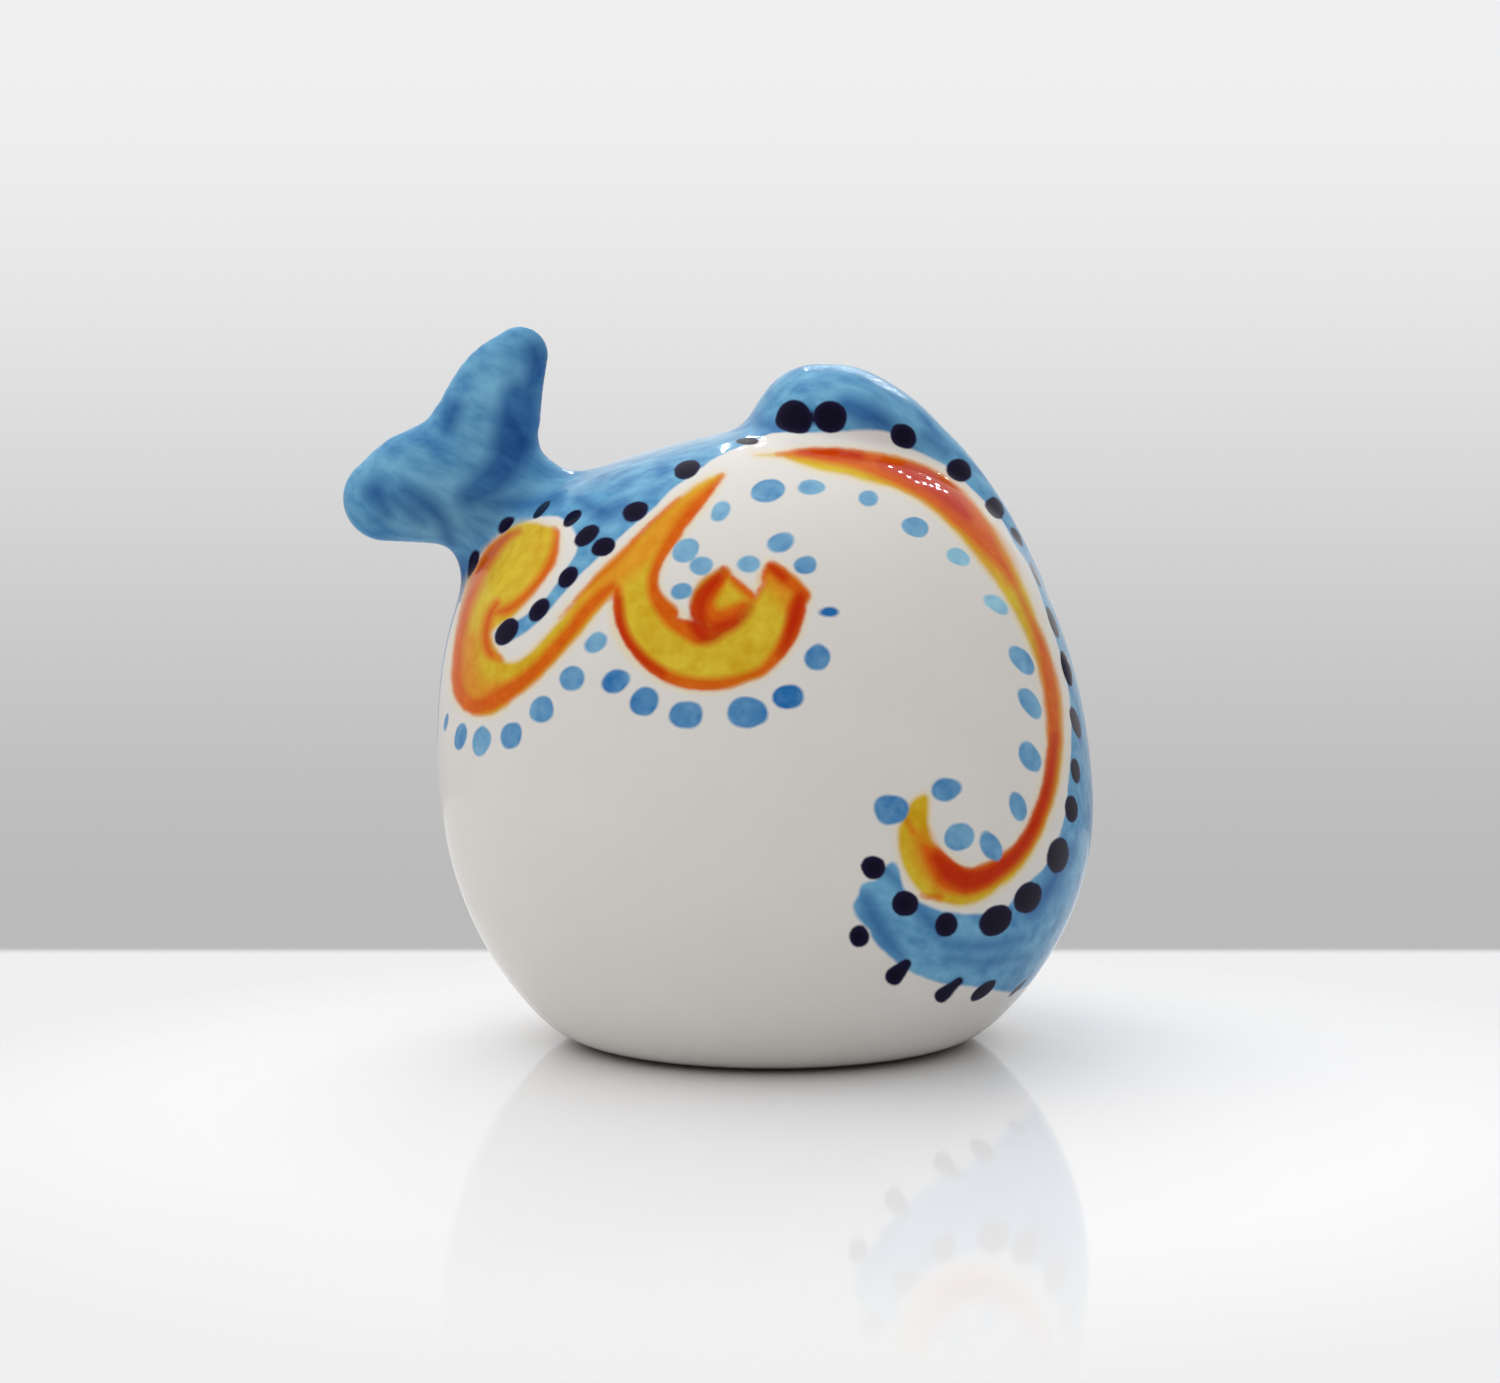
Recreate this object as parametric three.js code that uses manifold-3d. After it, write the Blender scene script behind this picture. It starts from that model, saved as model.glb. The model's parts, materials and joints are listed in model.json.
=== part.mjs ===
// A round-bodied fish ornament in glazed earthenware: a hollow slip-cast body that stands on a flat
// foot, with a forked tail fin, a dorsal fin, two eye discs and two lips luted on with slip.
// Millimetres, +Z up. The head looks along +X, the tail points back along -X, and Y = 0 is the
// plane of symmetry. The origin is under the middle of the whole fish, on the table.

import * as THREE from "three";
import { mergeVertices } from "three/addons/utils/BufferGeometryUtils.js";
import Module from "manifold-3d";

const wasm = await Module();
wasm.setup();

// Body: rings stacked from the foot to the crown.
const BODY_RADIUS = 54.4; // reach of the widest ring to the front and to the back
const BODY_HALF_WIDTH = 53.6; // reach of the widest ring to each side
const WIDEST_HEIGHT = 42; // height of the widest ring above the table
const BELLY_DEPTH = 53.6; // depth of the belly's round under the widest ring, before the foot cuts it
const CROWN_HEIGHT = 60.3; // crown above the widest ring
const CROWN_FULLNESS = 0.21; // how much fuller than an ellipse the shoulders are
const CROWN_LEAN = 4.6; // how far the shoulders lean back towards the tail
const LEAN_START = -24; // degrees: the level on the belly where the lean begins
const CROWN_TILT = 0.065; // rise of the crown towards the head, per millimetre
const FOOT_RADIUS = 31; // edge of the flat foot
const FOOT_EDGE_RISE = 2.4; // height at which the rounded foot edge meets the belly

// Shell: what the plaster mould leaves after the slip is drained.
const WALL = 5;
const POUR_HOLE_RADIUS = 9;
const FOOT_RECESS_RADIUS = 24; // hollow of the underside, inside the standing ring
const FOOT_RECESS_DEPTH = 1.2;

// Luted joints: a thin layer of slip, and a short key in a blind socket under each fin.
const LUTE_GAP = 0.3;
const KEY_RADIUS = 3.4;
const KEY_ROOT = 6; // length of the key inside the fin
const SOCKET_FLOOR = 2.2; // wall left under a blind socket

// Tail fin: an outline in the plane of symmetry, measured from its seat on the body.
const TAIL_SEAT_ELEVATION = 51; // degrees above the widest ring, at the back
const TAIL_PITCH = 45; // degrees that the tail's axis rises towards the back
const TAIL_THICKNESS = 13; // along the spine
const STALK_UPPER = 10.9; // half width of the stalk on the upper side
const STALK_LOWER = 10.7; // half width of the stalk on the lower side
const FORK_REACH = 20.4; // bottom of the fork, along the axis
const LOBE_REACH = 23; // furthest edge of the lobes, along the axis
const UPPER_LOBE_SPREAD = 24.8; // tip of the upper lobe, across the axis
const LOWER_LOBE_SPREAD = 19.2; // tip of the lower lobe, across the axis
const TAIL_SINK = 7; // how far the outline runs into the body before it is cut to fit

// Dorsal fin: an outline in the plane of symmetry, standing on the crown.
const DORSAL_PEAK_AHEAD = 11; // highest point, ahead of the crown
const DORSAL_HEIGHT = 10.6; // highest point above the crown
const DORSAL_BACK = 1.8; // back foot of the fin, behind the crown
const DORSAL_FRONT_ELEVATION = 34; // degrees above the widest ring where the front edge runs out
const DORSAL_THICKNESS = 36; // a broad hump, measured across its foot
const DORSAL_SINK = 12; // how far the outline runs into the body before it is cut to fit

// Eyes: round discs pressed into shallow seats on the front.
const EYE_HEIGHT = 20.8; // above the widest ring
const EYE_BEARING = 21.5; // degrees to each side of the plane of symmetry
const EYE_RADIUS = 3;
const EYE_SEAT_DEPTH = 1.6;
const EYE_DOME = 0.5; // how far the middle stands out of the body

// Lips: two short rolls of clay pressed into grooves on the front, under the eyes.
const MOUTH_HEIGHT = 4; // above the widest ring
const MOUTH_BEARING = 8.5; // degrees to each side that the lips reach
const LIP_RADIUS = 1.9; // half the height of the rolls
const LIP_DEPTH = 1.15; // half the depth of the rolls, which are flattened
const LIP_PROUD = 0.4; // how far the rolls stand out of the body
const MOUTH_SLIT = 1.6; // between the two rolls, all along the mouth
const GROOVE_REACH = 0.5; // how much further than the lip its groove runs at each end

// Facets
const BODY_SEGMENTS = 48;
const BODY_RINGS = 22;
const INNER_SEGMENTS = 36;
const INNER_RINGS = 16;
const KEY_SEGMENTS = 20;
const HOLE_SEGMENTS = 36;
const EYE_SEGMENTS = 24;
const EYE_DOME_STEPS = 4;
const LIP_SEGMENTS = 10;
const LIP_RINGS = 12;
const TAIL_OUTLINE_STEPS = 56;
const DORSAL_RINGS = 26;
const DORSAL_SEGMENTS = 20;
const EDGE_STEPS = 5;
const FIN_SWELL = (80 * Math.PI) / 180; // part of a quarter turn that a fin's side goes through

const HALF_TURN = Math.PI;
const radians = THREE.MathUtils.degToRad;

// A point of the body's surface. level is an angle: 0 at the widest ring, a quarter turn at the crown,
// negative on the belly. bearing is 0 at the front. grow moves the surface out, or in when negative.
function bodyPoint(level, bearing, grow = 0) {
  const rise = Math.sin(level);
  const above = Math.max(rise, 0);
  const depth = (rise > 0 ? CROWN_HEIGHT : BELLY_DEPTH) + grow;
  const share = Math.cos(level) * (1 + CROWN_FULLNESS * above * above);
  const ahead = (BODY_RADIUS + grow) * share * Math.cos(bearing);
  const lean = CROWN_LEAN * Math.sin(Math.max(level - radians(LEAN_START), 0)) ** 2;
  return new THREE.Vector3(
    ahead - lean,
    (BODY_HALF_WIDTH + grow) * share * Math.sin(bearing),
    WIDEST_HEIGHT + depth * rise + CROWN_TILT * ahead * above * above,
  );
}

// The level of the belly ring at a height above the table.
function bellyLevel(height, grow = 0) {
  return Math.asin((height - WIDEST_HEIGHT) / (BELLY_DEPTH + grow));
}

// The level of the crown ring that is a given rise above the widest ring.
function crownLevel(rise) {
  return Math.asin(rise / CROWN_HEIGHT);
}

// A ring of points round the body at one level.
function bodyRing(level, segments, grow) {
  return Array.from({ length: segments }, (_, k) =>
    bodyPoint(level, (2 * HALF_TURN * k) / segments, grow),
  );
}

// A closed surface through rings of equal length, with a single point at each end.
function loft(start, rings, end) {
  const size = rings[0].length;
  const points = [start, ...rings.flat(), end];
  const last = points.length - 1;
  const faces = [];
  for (let k = 0; k < size; k++) {
    const next = (k + 1) % size;
    faces.push(0, 1 + next, 1 + k);
    for (let r = 0; r + 1 < rings.length; r++) {
      const low = 1 + r * size;
      const high = low + size;
      faces.push(low + k, low + next, high + next, low + k, high + next, high + k);
    }
    const top = 1 + (rings.length - 1) * size;
    faces.push(last, top + k, top + next);
  }
  const geometry = new THREE.BufferGeometry().setFromPoints(points);
  geometry.setIndex(faces);
  return geometry;
}

// The body's outside as a closed shape. grow gives the same shape with room for a layer of slip.
function bodyOutside(grow = 0) {
  const lowest = bellyLevel(FOOT_EDGE_RISE, grow);
  const foot = bodyRing(0, BODY_SEGMENTS, grow).map((point) => {
    const bearing = Math.atan2(point.y, point.x);
    const edge = FOOT_RADIUS + grow;
    return new THREE.Vector3(edge * Math.cos(bearing), edge * Math.sin(bearing), -grow);
  });
  const rings = [foot];
  for (let r = 0; r < BODY_RINGS; r++) {
    const level = lowest + ((HALF_TURN / 2 - lowest) * r) / BODY_RINGS;
    rings.push(bodyRing(level, BODY_SEGMENTS, grow));
  }
  return loft(new THREE.Vector3(0, 0, -grow), rings, bodyPoint(HALF_TURN / 2, 0, grow));
}

// The hollow that the drained slip leaves inside the body.
function bodyHollow() {
  const floor = WALL + FOOT_RECESS_DEPTH;
  const lowest = bellyLevel(floor, -WALL);
  const rings = [];
  for (let r = 0; r < INNER_RINGS; r++) {
    const level = lowest + ((HALF_TURN / 2 - lowest) * r) / INNER_RINGS;
    rings.push(bodyRing(level, INNER_SEGMENTS, -WALL));
  }
  return loft(new THREE.Vector3(0, 0, floor), rings, bodyPoint(HALF_TURN / 2, 0, -WALL));
}

// A closed geometry as a solid that can be joined and cut.
function solid(geometry) {
  const bare = geometry.index ? geometry.toNonIndexed() : geometry.clone();
  bare.deleteAttribute("normal");
  bare.deleteAttribute("uv");
  const merged = mergeVertices(bare, 1e-4);
  return new wasm.Manifold(
    new wasm.Mesh({
      numProp: 3,
      vertProperties: merged.attributes.position.array,
      triVerts: new Uint32Array(merged.index.array),
    }),
  );
}

// A solid as geometry for a mesh.
function geometryOf(made) {
  const mesh = made.getMesh();
  const geometry = new THREE.BufferGeometry();
  geometry.setAttribute("position", new THREE.BufferAttribute(mesh.vertProperties, 3));
  geometry.setIndex(new THREE.BufferAttribute(mesh.triVerts, 1));
  geometry.computeVertexNormals();
  return geometry;
}

// A round bar between two points.
function bar(from, to, radius, segments) {
  const along = new THREE.Vector3().subVectors(to, from);
  const geometry = new THREE.CylinderGeometry(radius, radius, along.length(), segments);
  const up = new THREE.Vector3(0, 1, 0);
  const turn = new THREE.Quaternion().setFromUnitVectors(up, along.clone().normalize());
  geometry.applyQuaternion(turn);
  const middle = from.clone().add(to).multiplyScalar(0.5);
  return geometry.translate(middle.x, middle.y, middle.z);
}

// The point of a spine, given as branches of two points each, that is nearest to a point.
function nearestOnSpine(point, spine) {
  const closest = new THREE.Vector3();
  let best = point;
  let least = Infinity;
  for (const [from, to] of spine) {
    new THREE.Line3(from, to).closestPointToPoint(point, true, closest);
    if (closest.distanceTo(point) < least) {
      least = closest.distanceTo(point);
      best = closest.clone();
    }
  }
  return best;
}

// A fin: a closed outline in the plane of symmetry that swells from its edge to its spine on both sides.
// The outline is [x, z] pairs, smoothed into one curve; the spine is branches of two such pairs.
function finGeometry(outline, spine, steps, thickness) {
  const flat = ([x, z]) => new THREE.Vector3(x, 0, z);
  const curve = new THREE.CatmullRomCurve3(outline.map(flat), true, "centripetal");
  const edge = curve.getSpacedPoints(steps).slice(0, steps);
  const branches = spine.map((branch) => branch.map(flat));
  const inner = edge.map((point) => nearestOnSpine(point, branches));
  const rings = [];
  for (let step = -EDGE_STEPS; step <= EDGE_STEPS; step++) {
    const swing = (FIN_SWELL * step) / EDGE_STEPS;
    const lift = (thickness / 2) * Math.sin(swing);
    rings.push(
      edge.map((point, k) => {
        const moved = inner[k].clone().lerp(point, Math.cos(swing));
        return moved.setY(lift);
      }),
    );
  }
  const points = rings.flat();
  const faces = [];
  for (let r = 0; r + 1 < rings.length; r++) {
    for (let k = 0; k < steps; k++) {
      const low = r * steps;
      const high = low + steps;
      const next = (k + 1) % steps;
      faces.push(low + k, high + next, low + next, low + k, high + k, high + next);
    }
  }
  const lastRing = (rings.length - 1) * steps;
  const cap = rings[0].map((point) => new THREE.Vector2(point.x, point.z));
  for (const [a, b, c] of THREE.ShapeUtils.triangulateShape(cap, [])) {
    faces.push(a, b, c, lastRing + a, lastRing + c, lastRing + b);
  }
  const geometry = new THREE.BufferGeometry().setFromPoints(points);
  geometry.setIndex(faces);
  return geometry;
}

// Where the key of a fin enters the body: a line through the seat, out into the fin and in to the socket.
function keyLine(seat, outward) {
  const depth = WALL - SOCKET_FLOOR;
  return {
    root: seat.clone().addScaledVector(outward, KEY_ROOT),
    tip: seat.clone().addScaledVector(outward, LUTE_GAP - depth),
    floor: seat.clone().addScaledVector(outward, -depth),
  };
}

function keyBar(line) {
  return solid(bar(line.root, line.tip, KEY_RADIUS, KEY_SEGMENTS));
}

function socketCut(line) {
  return solid(bar(line.root, line.floor, KEY_RADIUS + LUTE_GAP, KEY_SEGMENTS));
}

// Tail fin
const tailSeat = bodyPoint(radians(TAIL_SEAT_ELEVATION), HALF_TURN);
const tailAxis = new THREE.Vector3(-Math.cos(radians(TAIL_PITCH)), 0, Math.sin(radians(TAIL_PITCH)));
const tailAcross = new THREE.Vector3(tailAxis.z, 0, -tailAxis.x);
const tailKey = keyLine(tailSeat, tailAxis);

function tailSolid(outside) {
  const outline = [
    [-TAIL_SINK, STALK_UPPER],
    [LOBE_REACH * 0.08, STALK_UPPER],
    [LOBE_REACH * 0.25, STALK_UPPER * 1.15],
    [LOBE_REACH * 0.43, UPPER_LOBE_SPREAD * 0.705],
    [LOBE_REACH * 0.62, UPPER_LOBE_SPREAD * 0.91],
    [LOBE_REACH * 0.75, UPPER_LOBE_SPREAD],
    [LOBE_REACH * 0.91, UPPER_LOBE_SPREAD * 0.955],
    [LOBE_REACH * 0.985, UPPER_LOBE_SPREAD * 0.8],
    [LOBE_REACH, UPPER_LOBE_SPREAD * 0.5],
    [(LOBE_REACH + FORK_REACH) / 2, UPPER_LOBE_SPREAD * 0.23],
    [FORK_REACH, UPPER_LOBE_SPREAD * 0.03],
    [(LOBE_REACH + FORK_REACH) / 2, -LOWER_LOBE_SPREAD * 0.2],
    [LOBE_REACH, -LOWER_LOBE_SPREAD * 0.52],
    [LOBE_REACH * 0.93, -LOWER_LOBE_SPREAD * 0.89],
    [LOBE_REACH * 0.82, -LOWER_LOBE_SPREAD],
    [LOBE_REACH * 0.66, -LOWER_LOBE_SPREAD * 0.98],
    [LOBE_REACH * 0.32, -LOWER_LOBE_SPREAD * 0.7],
    [LOBE_REACH * 0.09, -STALK_LOWER],
    [-TAIL_SINK, -STALK_LOWER],
  ];
  const root = [-TAIL_SINK, (STALK_UPPER - STALK_LOWER) / 2];
  const hub = [LOBE_REACH * 0.45, (UPPER_LOBE_SPREAD - LOWER_LOBE_SPREAD) * 0.15];
  const spine = [
    [root, hub],
    [hub, [LOBE_REACH * 0.78, UPPER_LOBE_SPREAD * 0.74]],
    [hub, [LOBE_REACH * 0.76, -LOWER_LOBE_SPREAD * 0.6]],
  ];
  const placed = ([along, across]) => [
    tailSeat.x + tailAxis.x * along + tailAcross.x * across,
    tailSeat.z + tailAxis.z * along + tailAcross.z * across,
  ];
  const blade = finGeometry(
    outline.map(placed),
    spine.map((branch) => branch.map(placed)),
    TAIL_OUTLINE_STEPS,
    TAIL_THICKNESS,
  );
  return solid(blade).subtract(outside).add(keyBar(tailKey));
}

// Dorsal fin
const crown = bodyPoint(HALF_TURN / 2, 0);
const dorsalKey = keyLine(
  new THREE.Vector3(crown.x + DORSAL_PEAK_AHEAD, 0, bodyTopAt(crown.x + DORSAL_PEAK_AHEAD)),
  new THREE.Vector3(0, 0, 1),
);

// Height of the body's top in the plane of symmetry, some way ahead of the crown.
function bodyTopAt(ahead) {
  let low = 0;
  let high = HALF_TURN / 2;
  for (let step = 0; step < 40; step++) {
    const middle = (low + high) / 2;
    if (bodyPoint(middle, 0).x > ahead) low = middle;
    else high = middle;
  }
  return bodyPoint(low, 0).z;
}

function dorsalSolid(outside) {
  const front = bodyPoint(radians(DORSAL_FRONT_ELEVATION), 0);
  const peak = [crown.x + DORSAL_PEAK_AHEAD, crown.z + DORSAL_HEIGHT];
  const back = crown.x - DORSAL_BACK;
  const ahead = (share) => back + (peak[0] - back) * share;
  const up = (share) => crown.z + DORSAL_HEIGHT * share;
  const along = (share) => peak[0] + (front.x - peak[0]) * share;
  const down = (share) => peak[1] + (front.z - peak[1]) * share;
  const edge = new THREE.CatmullRomCurve3(
    [
      [back, up(0)],
      [ahead(0.18), up(0.24)],
      [ahead(0.33), up(0.57)],
      [ahead(0.51), up(0.8)],
      [ahead(0.73), up(0.95)],
      peak,
      [along(0.2), down(0.042)],
      [along(0.44), down(0.172)],
      [along(0.64), down(0.356)],
      [along(0.79), down(0.59)],
      [along(0.94), down(0.853)],
      [front.x, front.z],
    ].map(([x, z]) => new THREE.Vector3(x, 0, z)),
    false,
    "centripetal",
  );
  const rootBack = new THREE.Vector3(crown.x + DORSAL_BACK, 0, crown.z - DORSAL_SINK);
  const rootFront = new THREE.Vector3(front.x - DORSAL_SINK, 0, front.z - DORSAL_SINK * 0.5);
  const rings = [];
  for (let r = 1; r < DORSAL_RINGS; r++) {
    const share = r / DORSAL_RINGS;
    const top = edge.getPointAt(share);
    const root = rootBack.clone().lerp(rootFront, share);
    const half = (DORSAL_THICKNESS / 2) * Math.sqrt(Math.sin(HALF_TURN * share));
    const middle = top.clone().add(root).multiplyScalar(0.5);
    const reach = top.clone().sub(middle);
    rings.push(
      Array.from({ length: DORSAL_SEGMENTS }, (_, k) => {
        const turn = (2 * HALF_TURN * k) / DORSAL_SEGMENTS;
        return middle
          .clone()
          .addScaledVector(reach, Math.cos(turn))
          .setY(-half * Math.sin(turn));
      }),
    );
  }
  const start = edge.getPointAt(0).lerp(rootBack, 0.5);
  const end = edge.getPointAt(1).lerp(rootFront, 0.5);
  const blade = loft(start, rings, end);
  return solid(blade).subtract(outside).add(keyBar(dorsalKey));
}

// Eyes: a place on the front and the direction that the body faces there.
function eyePlace(side) {
  const level = crownLevel(EYE_HEIGHT);
  const bearing = side * radians(EYE_BEARING);
  const small = 0.01;
  const place = bodyPoint(level, bearing);
  const up = bodyPoint(level + small, bearing).sub(place);
  const round = bodyPoint(level, bearing + small).sub(place);
  return { place, outward: round.cross(up).normalize() };
}

// A disc with a flat back and a domed face, standing in its seat.
function eyeSolid({ place, outward }) {
  const back = LUTE_GAP - EYE_SEAT_DEPTH;
  const profile = [new THREE.Vector2(0, back), new THREE.Vector2(EYE_RADIUS, back)];
  for (let step = 0; step <= EYE_DOME_STEPS; step++) {
    const share = step / EYE_DOME_STEPS;
    profile.push(new THREE.Vector2(EYE_RADIUS * (1 - share), EYE_DOME * (1 - (1 - share) ** 2)));
  }
  const geometry = new THREE.LatheGeometry(profile, EYE_SEGMENTS);
  const turn = new THREE.Quaternion().setFromUnitVectors(new THREE.Vector3(0, 1, 0), outward);
  geometry.applyQuaternion(turn);
  return solid(geometry.translate(place.x, place.y, place.z));
}

function eyeSeatCut({ place, outward }) {
  const inside = place.clone().addScaledVector(outward, -EYE_SEAT_DEPTH);
  const clear = place.clone().addScaledVector(outward, EYE_RADIUS);
  return solid(bar(inside, clear, EYE_RADIUS + LUTE_GAP, EYE_SEGMENTS));
}

// A flattened roll that thins to half towards both ends, pressed into the front of the body, so that the
// slit between the two stays even. side is 1 above, -1 below. room makes it wider, and reach longer.
function lipRoll(side, room, reach) {
  const middle = MOUTH_HEIGHT + side * (LIP_RADIUS + MOUTH_SLIT / 2);
  const thinned = (share) => 1 - (2 * share - 1) ** 2 / 2;
  const spine = (share) => {
    const rise = middle - side * LIP_RADIUS * (1 - thinned(share));
    const sunk = LIP_PROUD - LIP_DEPTH * thinned(share);
    return bodyPoint(crownLevel(rise), radians(MOUTH_BEARING) * (2 * share - 1), sunk);
  };
  const rings = [];
  for (let r = 1; r < LIP_RINGS; r++) {
    const share = r / LIP_RINGS;
    const half = LIP_RADIUS * thinned(share) + room;
    const depth = LIP_DEPTH * thinned(share) + room;
    const point = spine(share);
    rings.push(
      Array.from({ length: LIP_SEGMENTS }, (_, k) => {
        const turn = (2 * HALF_TURN * k) / LIP_SEGMENTS;
        const out = depth * Math.cos(turn);
        const down = half * Math.sin(turn);
        return new THREE.Vector3(point.x + out, point.y, point.z - down);
      }),
    );
  }
  const further = reach / (2 * BODY_RADIUS * radians(MOUTH_BEARING));
  return solid(loft(spine(-further), rings, spine(1 + further)));
}

function lipSolid(side) {
  return lipRoll(side, 0, 0);
}

function lipGrooveCut(side) {
  return lipRoll(side, LUTE_GAP, GROOVE_REACH);
}

// Body shell: the outside less the hollow, the pour hole, the foot recess and the seats of what is luted on.
function bodySolid(cuts) {
  const under = new THREE.Vector3(0, 0, -LUTE_GAP);
  const holeTop = new THREE.Vector3(0, 0, 2 * WALL + FOOT_RECESS_DEPTH);
  const recessTop = new THREE.Vector3(0, 0, FOOT_RECESS_DEPTH);
  const hollow = solid(bodyHollow());
  const pourHole = solid(bar(under, holeTop, POUR_HOLE_RADIUS, HOLE_SEGMENTS));
  const recess = solid(bar(under, recessTop, FOOT_RECESS_RADIUS, HOLE_SEGMENTS));
  return [hollow, pourHole, recess, ...cuts].reduce(
    (shell, cut) => shell.subtract(cut),
    solid(bodyOutside()),
  );
}

// Finishes
const glaze = (colour) =>
  new THREE.MeshStandardMaterial({ color: colour, roughness: 0.12, metalness: 0 });
const whiteGlaze = glaze(0xe4e0db);
const blueGlaze = glaze(0x4f8fc0);
const navyGlaze = glaze(0x1c1c33);
const orangeGlaze = glaze(0xc8601c);

// Assembly
const slipRoom = solid(bodyOutside(LUTE_GAP));
const leftEye = eyePlace(1);
const rightEye = eyePlace(-1);
const seatCuts = [
  socketCut(tailKey),
  socketCut(dorsalKey),
  eyeSeatCut(leftEye),
  eyeSeatCut(rightEye),
  lipGrooveCut(1),
  lipGrooveCut(-1),
];

const fish = new THREE.Group();
function addPiece(name, made, material) {
  const piece = new THREE.Mesh(geometryOf(made), material);
  piece.name = name;
  fish.add(piece);
}
addPiece("body_shell", bodySolid(seatCuts), whiteGlaze);
addPiece("tail_fin", tailSolid(slipRoom), blueGlaze);
addPiece("dorsal_fin", dorsalSolid(slipRoom), blueGlaze);
addPiece("left_eye", eyeSolid(leftEye), navyGlaze);
addPiece("right_eye", eyeSolid(rightEye), navyGlaze);
addPiece("upper_lip", lipSolid(1), orangeGlaze);
addPiece("lower_lip", lipSolid(-1), orangeGlaze);

// The origin goes under the middle of the whole fish, from nose to tail.
const reach = new THREE.Box3().setFromObject(fish);
fish.position.x = -(reach.min.x + reach.max.x) / 2;

const ornament = new THREE.Group();
ornament.add(fish);

export default ornament;
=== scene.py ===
"""A round earthenware fish in tin glaze, brushed with scrolls and dots, on a pale studio floor.

The sculpting is done in millimetres about the upright axis of the body, with the head along +X and the
plane of symmetry at Y = 0. Everything is then moved to the part's own frame, in metres.
"""

from __future__ import annotations

import json
import logging
import math
from dataclasses import dataclass, field
from enum import Enum
from typing import Any, Callable, Sequence, Union

import bpy
import numpy as np
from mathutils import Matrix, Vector
from mathutils.bvhtree import BVHTree

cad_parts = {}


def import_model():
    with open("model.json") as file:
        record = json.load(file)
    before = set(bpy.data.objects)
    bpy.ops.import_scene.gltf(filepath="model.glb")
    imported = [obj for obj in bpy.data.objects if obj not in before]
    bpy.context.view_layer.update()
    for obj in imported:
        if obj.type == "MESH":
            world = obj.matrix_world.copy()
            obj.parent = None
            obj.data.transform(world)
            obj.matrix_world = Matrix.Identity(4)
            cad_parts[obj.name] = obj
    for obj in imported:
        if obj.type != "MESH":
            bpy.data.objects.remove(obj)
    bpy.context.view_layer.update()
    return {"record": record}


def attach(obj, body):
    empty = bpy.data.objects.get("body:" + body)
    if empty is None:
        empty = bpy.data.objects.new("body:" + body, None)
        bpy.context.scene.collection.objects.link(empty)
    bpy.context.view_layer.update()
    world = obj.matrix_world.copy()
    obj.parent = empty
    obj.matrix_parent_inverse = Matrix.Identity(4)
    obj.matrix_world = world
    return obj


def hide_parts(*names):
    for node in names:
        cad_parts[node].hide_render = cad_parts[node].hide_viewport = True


log = logging.getLogger("fish")

MM = 0.001
HALF_TURN = 180.0
ONLY_BODY = "root"

Pixel = tuple[float, float]
Triple = tuple[float, float, float]
Shade = tuple[int, int, int]


class Slot(Enum):
    """The material slots of the part's record."""

    WHITE = "white_glaze"
    BLUE = "blue_glaze"
    NAVY = "navy_glaze"
    ORANGE = "orange_glaze"


class Layer(Enum):
    """The layers of glaze colour, each kept on the mesh as a distance to its edge, negative inside.

    TONE alone is a share, from 0 to 1: how deep the blue of the nearest dab is.
    """

    WASH = "wash"
    COBALT_AND_SHADE = "cobalt_and_shade"
    # Darker blue strokes: brush streaks, and in places painted shade on the fins.
    YELLOW = "yellow"
    AMBER = "amber"
    ORANGE = "orange"
    EMBER = "ember"
    SKY = "sky"
    TONE = "tone"
    NAVY = "navy"
    # Painted highlight: where the white glint on the eyes is painted.
    PAINTED_GLINT = "painted_glint"
    BARE = "bare"


def smooth_step(value: np.ndarray, low: float, high: float) -> np.ndarray:
    """Rise from 0 to 1 between two values, level at both ends."""
    share = np.clip((value - low) / (high - low), 0.0, 1.0)
    return share * share * (3.0 - 2.0 * share)


def soft_min(first: np.ndarray, second: np.ndarray, fillet: Union[float, np.ndarray]) -> np.ndarray:
    """The smaller of two distances, with the corner between the two shapes filled.

    Args:
        first: Distances to the first shape.
        second: Distances to the second shape.
        fillet: How near the two have to be before the corner is filled, in millimetres.

    Returns:
        Distances to the joined shape.
    """
    near = np.maximum(fillet - np.abs(first - second), 0.0) / fillet
    return np.minimum(first, second) - near**3 * fillet / 6.0


def soft_max(first: np.ndarray, second: np.ndarray, fillet: float) -> np.ndarray:
    """The larger of two distances, with the corner between the two shapes rounded."""
    return -soft_min(-first, -second, fillet)


def smooth_path(stations: np.ndarray, steps: int) -> np.ndarray:
    """A smooth curve through stations.

    Args:
        stations: One row for each station.
        steps: Number of stretches between each station and the next.

    Returns:
        The points of the curve, one row each, stations included.
    """
    stations = np.asarray(stations, float)
    chord = np.sqrt(np.linalg.norm(np.diff(stations, axis=0), axis=1))
    when = np.concatenate(([0.0], np.cumsum(chord)))
    slope = np.gradient(stations, when, axis=0, edge_order=1)
    rows = []
    for k, length in enumerate(chord):
        share = np.linspace(0.0, 1.0, steps, endpoint=False)[:, None]
        turn = share * share * (3.0 - 2.0 * share)
        leave = share * (1.0 - share) ** 2 * length
        arrive = share * share * (share - 1.0) * length
        between = stations[k] * (1.0 - turn) + stations[k + 1] * turn
        rows.append(between + slope[k] * leave + slope[k + 1] * arrive)
    rows.append(stations[-1:])
    return np.concatenate(rows)


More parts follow.
